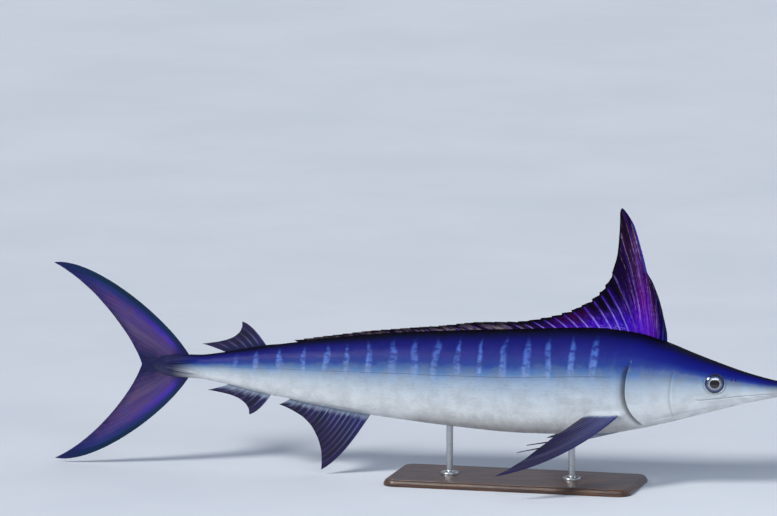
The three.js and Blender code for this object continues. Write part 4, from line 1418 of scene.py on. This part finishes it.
def standBase():
    low, high = (np.array(corner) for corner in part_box("stand_base"))
    middle = (low + high) / 2
    halfLength, halfWidth = (high - low)[:2] / 2 * 1000
    rings = []
    for inset, height in stand["edge"]:
        ring = []
        corner = stand["cornerMm"] - inset
        for quarter, (along, across) in enumerate([[1, 1], [-1, 1], [-1, -1], [1, -1]]):
            turn = np.linspace(quarter, quarter + 1, 13) * math.pi / 2
            x = along * (halfLength - stand["cornerMm"]) + corner * np.cos(turn)
            y = across * (halfWidth - stand["cornerMm"]) + corner * np.sin(turn)
            ring.append(np.stack([x, y, np.full(13, float(height))], axis=-1))
        rings.append(np.concatenate(ring))
    points, faces = tube(np.array(rings) / 1000 + [middle[0], middle[1], low[2]])
    piece = newPiece("wooden_base", points, faces, finishes["wood"])
    piece.data.set_sharp_from_angle(angle=math.radians(35))
    handIn(piece, ["stand_base"])


def bellyHeight(at, across):
    # height of the skin's underside
    level = widestLevel(at)
    share = np.clip(np.abs(across) / halfWidthOf(at), 0, 1)
    down = (level - bottomOf(at)) * (1 - share ** body["bellyPower"]) ** (1 / body["bellyPower"])
    return fish["axisHeight"] + (level - down) * fish["length"]


def standRod(word):
    node = f"stand_rod_{word}"
    low, high = (np.array(corner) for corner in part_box(node))
    turn = np.linspace(0, 2 * math.pi, 64, endpoint=False)
    top = [[radius, None] for radius in (stand["rodRadiusMm"], 8, 4, 0.02)]
    rings = []
    for radius, height in stand["collar"] + top:
        x = (low[0] + high[0]) / 2 + radius / 1000 * np.cos(turn)
        y = radius / 1000 * np.sin(turn)
        if height is None:  # up to the belly
            z = bellyHeight((fish["jawTipX"] - x) / fish["length"], y / fish["length"]) - 0.0003
        else:
            z = np.full(64, low[2] + height / 1000)
        rings.append(np.stack([x, y, z], axis=-1))
    points, faces = tube(np.array(rings))
    piece = newPiece(f"steel_rod_{word}", points, faces, finishes["steel"])
    piece.data.set_sharp_from_angle(angle=math.radians(40))
    handIn(piece, [node])


def screwTree():
    # round screw heads on every point
    tree, given = newGeometryTree("collarScrews", {"Radius": "Float", "Flatness": "Float"})
    sphere = {"Segments": 24, "Rings": 12, "Radius": given["Radius"]}
    head = add(tree, "GeometryNodeMeshUVSphere", sphere).outputs["Mesh"]
    smooth = add(tree, "GeometryNodeSetShadeSmooth", {"Geometry": head}).outputs[0]
    size = add(tree, "ShaderNodeCombineXYZ", {"X": 1.0, "Y": 1.0, "Z": given["Flatness"]}).outputs[0]
    inputs = {"Points": given["Geometry"], "Instance": smooth, "Scale": size}
    heads = add(tree, "GeometryNodeInstanceOnPoints", inputs).outputs[0]
    return endTree(tree, heads, given["Finish"])


def collarScrews():
    points = []
    circle = stand["screwCircleMm"] / 1000
    for word in ("front", "rear"):
        low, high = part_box(f"stand_rod_{word}")
        for turn in np.arange(stand["screws"]) * 2 * math.pi / stand["screws"] + math.pi / 4:
            x = (low[0] + high[0]) / 2 + circle * math.cos(turn)
            points.append([x, circle * math.sin(turn), low[2] + stand["screwHeightMm"] / 1000])
    piece = placed("collar_screws", newMesh("collar_screws", points))
    inputs = {"Radius": stand["screwRadiusMm"] / 1000, "Flatness": stand["screwFlatness"]}
    grown(piece, screwTree(), {**inputs, "Finish": finishes["steel"]})
    handIn(piece)


standBase()
for word in ("front", "rear"):
    standRod(word)
collarScrews()
print("stand")

# Camera, floor and light

view = {
    "azimuthDeg": 14.2,
    "elevationDeg": 9.5,
    "distance": 40,
    "pixelsPerMetre": 310,
    "frame": [777, 516],
    "finFrontPixel": [667, 342],
}
studio = {
    "skyColour": (0.72, 0.82, 1.0, 1.0),
    "skyStrength": 0.4,
    "aim": (0, 0, 0.35),
    "suns": [  # name, place, strength, angle in degrees, colour
        ["key", (-3.2, -4.4, 4.4), 3.0, 14, (1.0, 0.985, 0.96)],
        ["fill", (4, 3, 4), 0.5, 50, (0.84, 0.91, 1.0)],
    ],
    "windowPlace": (1.6, -3.6, 2.6),
    "windowSize": (2.6, 1.2),
    "windowWatts": 45,
    "windowColour": (0.9, 0.95, 1.0),
    "floorHalf": 90,
}


def photoCamera():
    turn, rise = math.radians(view["azimuthDeg"]), math.radians(view["elevationDeg"])
    right = Vector((math.cos(turn), math.sin(turn), 0))
    up = Vector((-math.sin(turn) * math.sin(rise), math.cos(turn) * math.sin(rise), math.cos(rise)))
    towards = Vector((math.sin(turn) * math.cos(rise), -math.cos(turn) * math.cos(rise), math.sin(rise)))
    finFront = dorsal["places"][0][1]
    anchor = Vector(inPlace(finFront, 0, topOf(finFront)).tolist())
    size = view["pixelsPerMetre"]
    across = (view["finFrontPixel"][0] - view["frame"][0] / 2) / size
    down = (view["finFrontPixel"][1] - view["frame"][1] / 2) / size
    data = bpy.data.cameras.new("camera")
    data.sensor_width = 36
    data.lens = size * data.sensor_width * view["distance"] / view["frame"][0]
    data.clip_start = 1
    data.clip_end = 500
    camera = placed("camera", data)
    camera.location = anchor - right * across + up * down + towards * view["distance"]
    camera.rotation_euler = towards.to_track_quat("Z", "Y").to_euler()
    bpy.context.scene.camera = camera


def paleFloor():
    pale = Finish("paleFloor", {"Roughness": 0.75, "Specular IOR Level": 0.2})
    pale.colour = pale.mixed(pale.noise(pale.place(), 1.3, 4.0).rise(0.3, 0.7), "#c9ced6", "#cfd3da")
    half = studio["floorHalf"]
    corners = [[-half, -half, 0], [half, -half, 0], [half, half, 0], [-half, half, 0]]
    mesh = newMesh("floor", corners, (), [[0, 1, 2, 3]])
    mesh.materials.append(pale.done({}))
    placed("floor", mesh)


def lampAt(name, kind, place, strength, colour):
    data = bpy.data.lights.new(name, kind)
    data.energy = strength
    data.color = colour
    lamp = placed(name, data)
    lamp.location = place
    lamp.rotation_euler = (Vector(place) - Vector(studio["aim"])).to_track_quat("Z", "Y").to_euler()
    return data


def studioLight():
    world = bpy.data.worlds.new("studio")
    world.use_nodes = True
    sky = {"Color": studio["skyColour"], "Strength": studio["skyStrength"]}
    feed(world.node_tree, world.node_tree.nodes["Background"], sky)
    bpy.context.scene.world = world
    for name, place, strength, angleDeg, colour in studio["suns"]:
        lampAt(name, "SUN", place, strength, colour).angle = math.radians(angleDeg)
    soft = lampAt("window", "AREA", studio["windowPlace"], studio["windowWatts"], studio["windowColour"])
    soft.shape = "RECTANGLE"
    soft.size, soft.size_y = studio["windowSize"]


photoCamera()
paleFloor()
studioLight()
bpy.context.scene.view_settings.view_transform = "Standard"
print("camera and light")
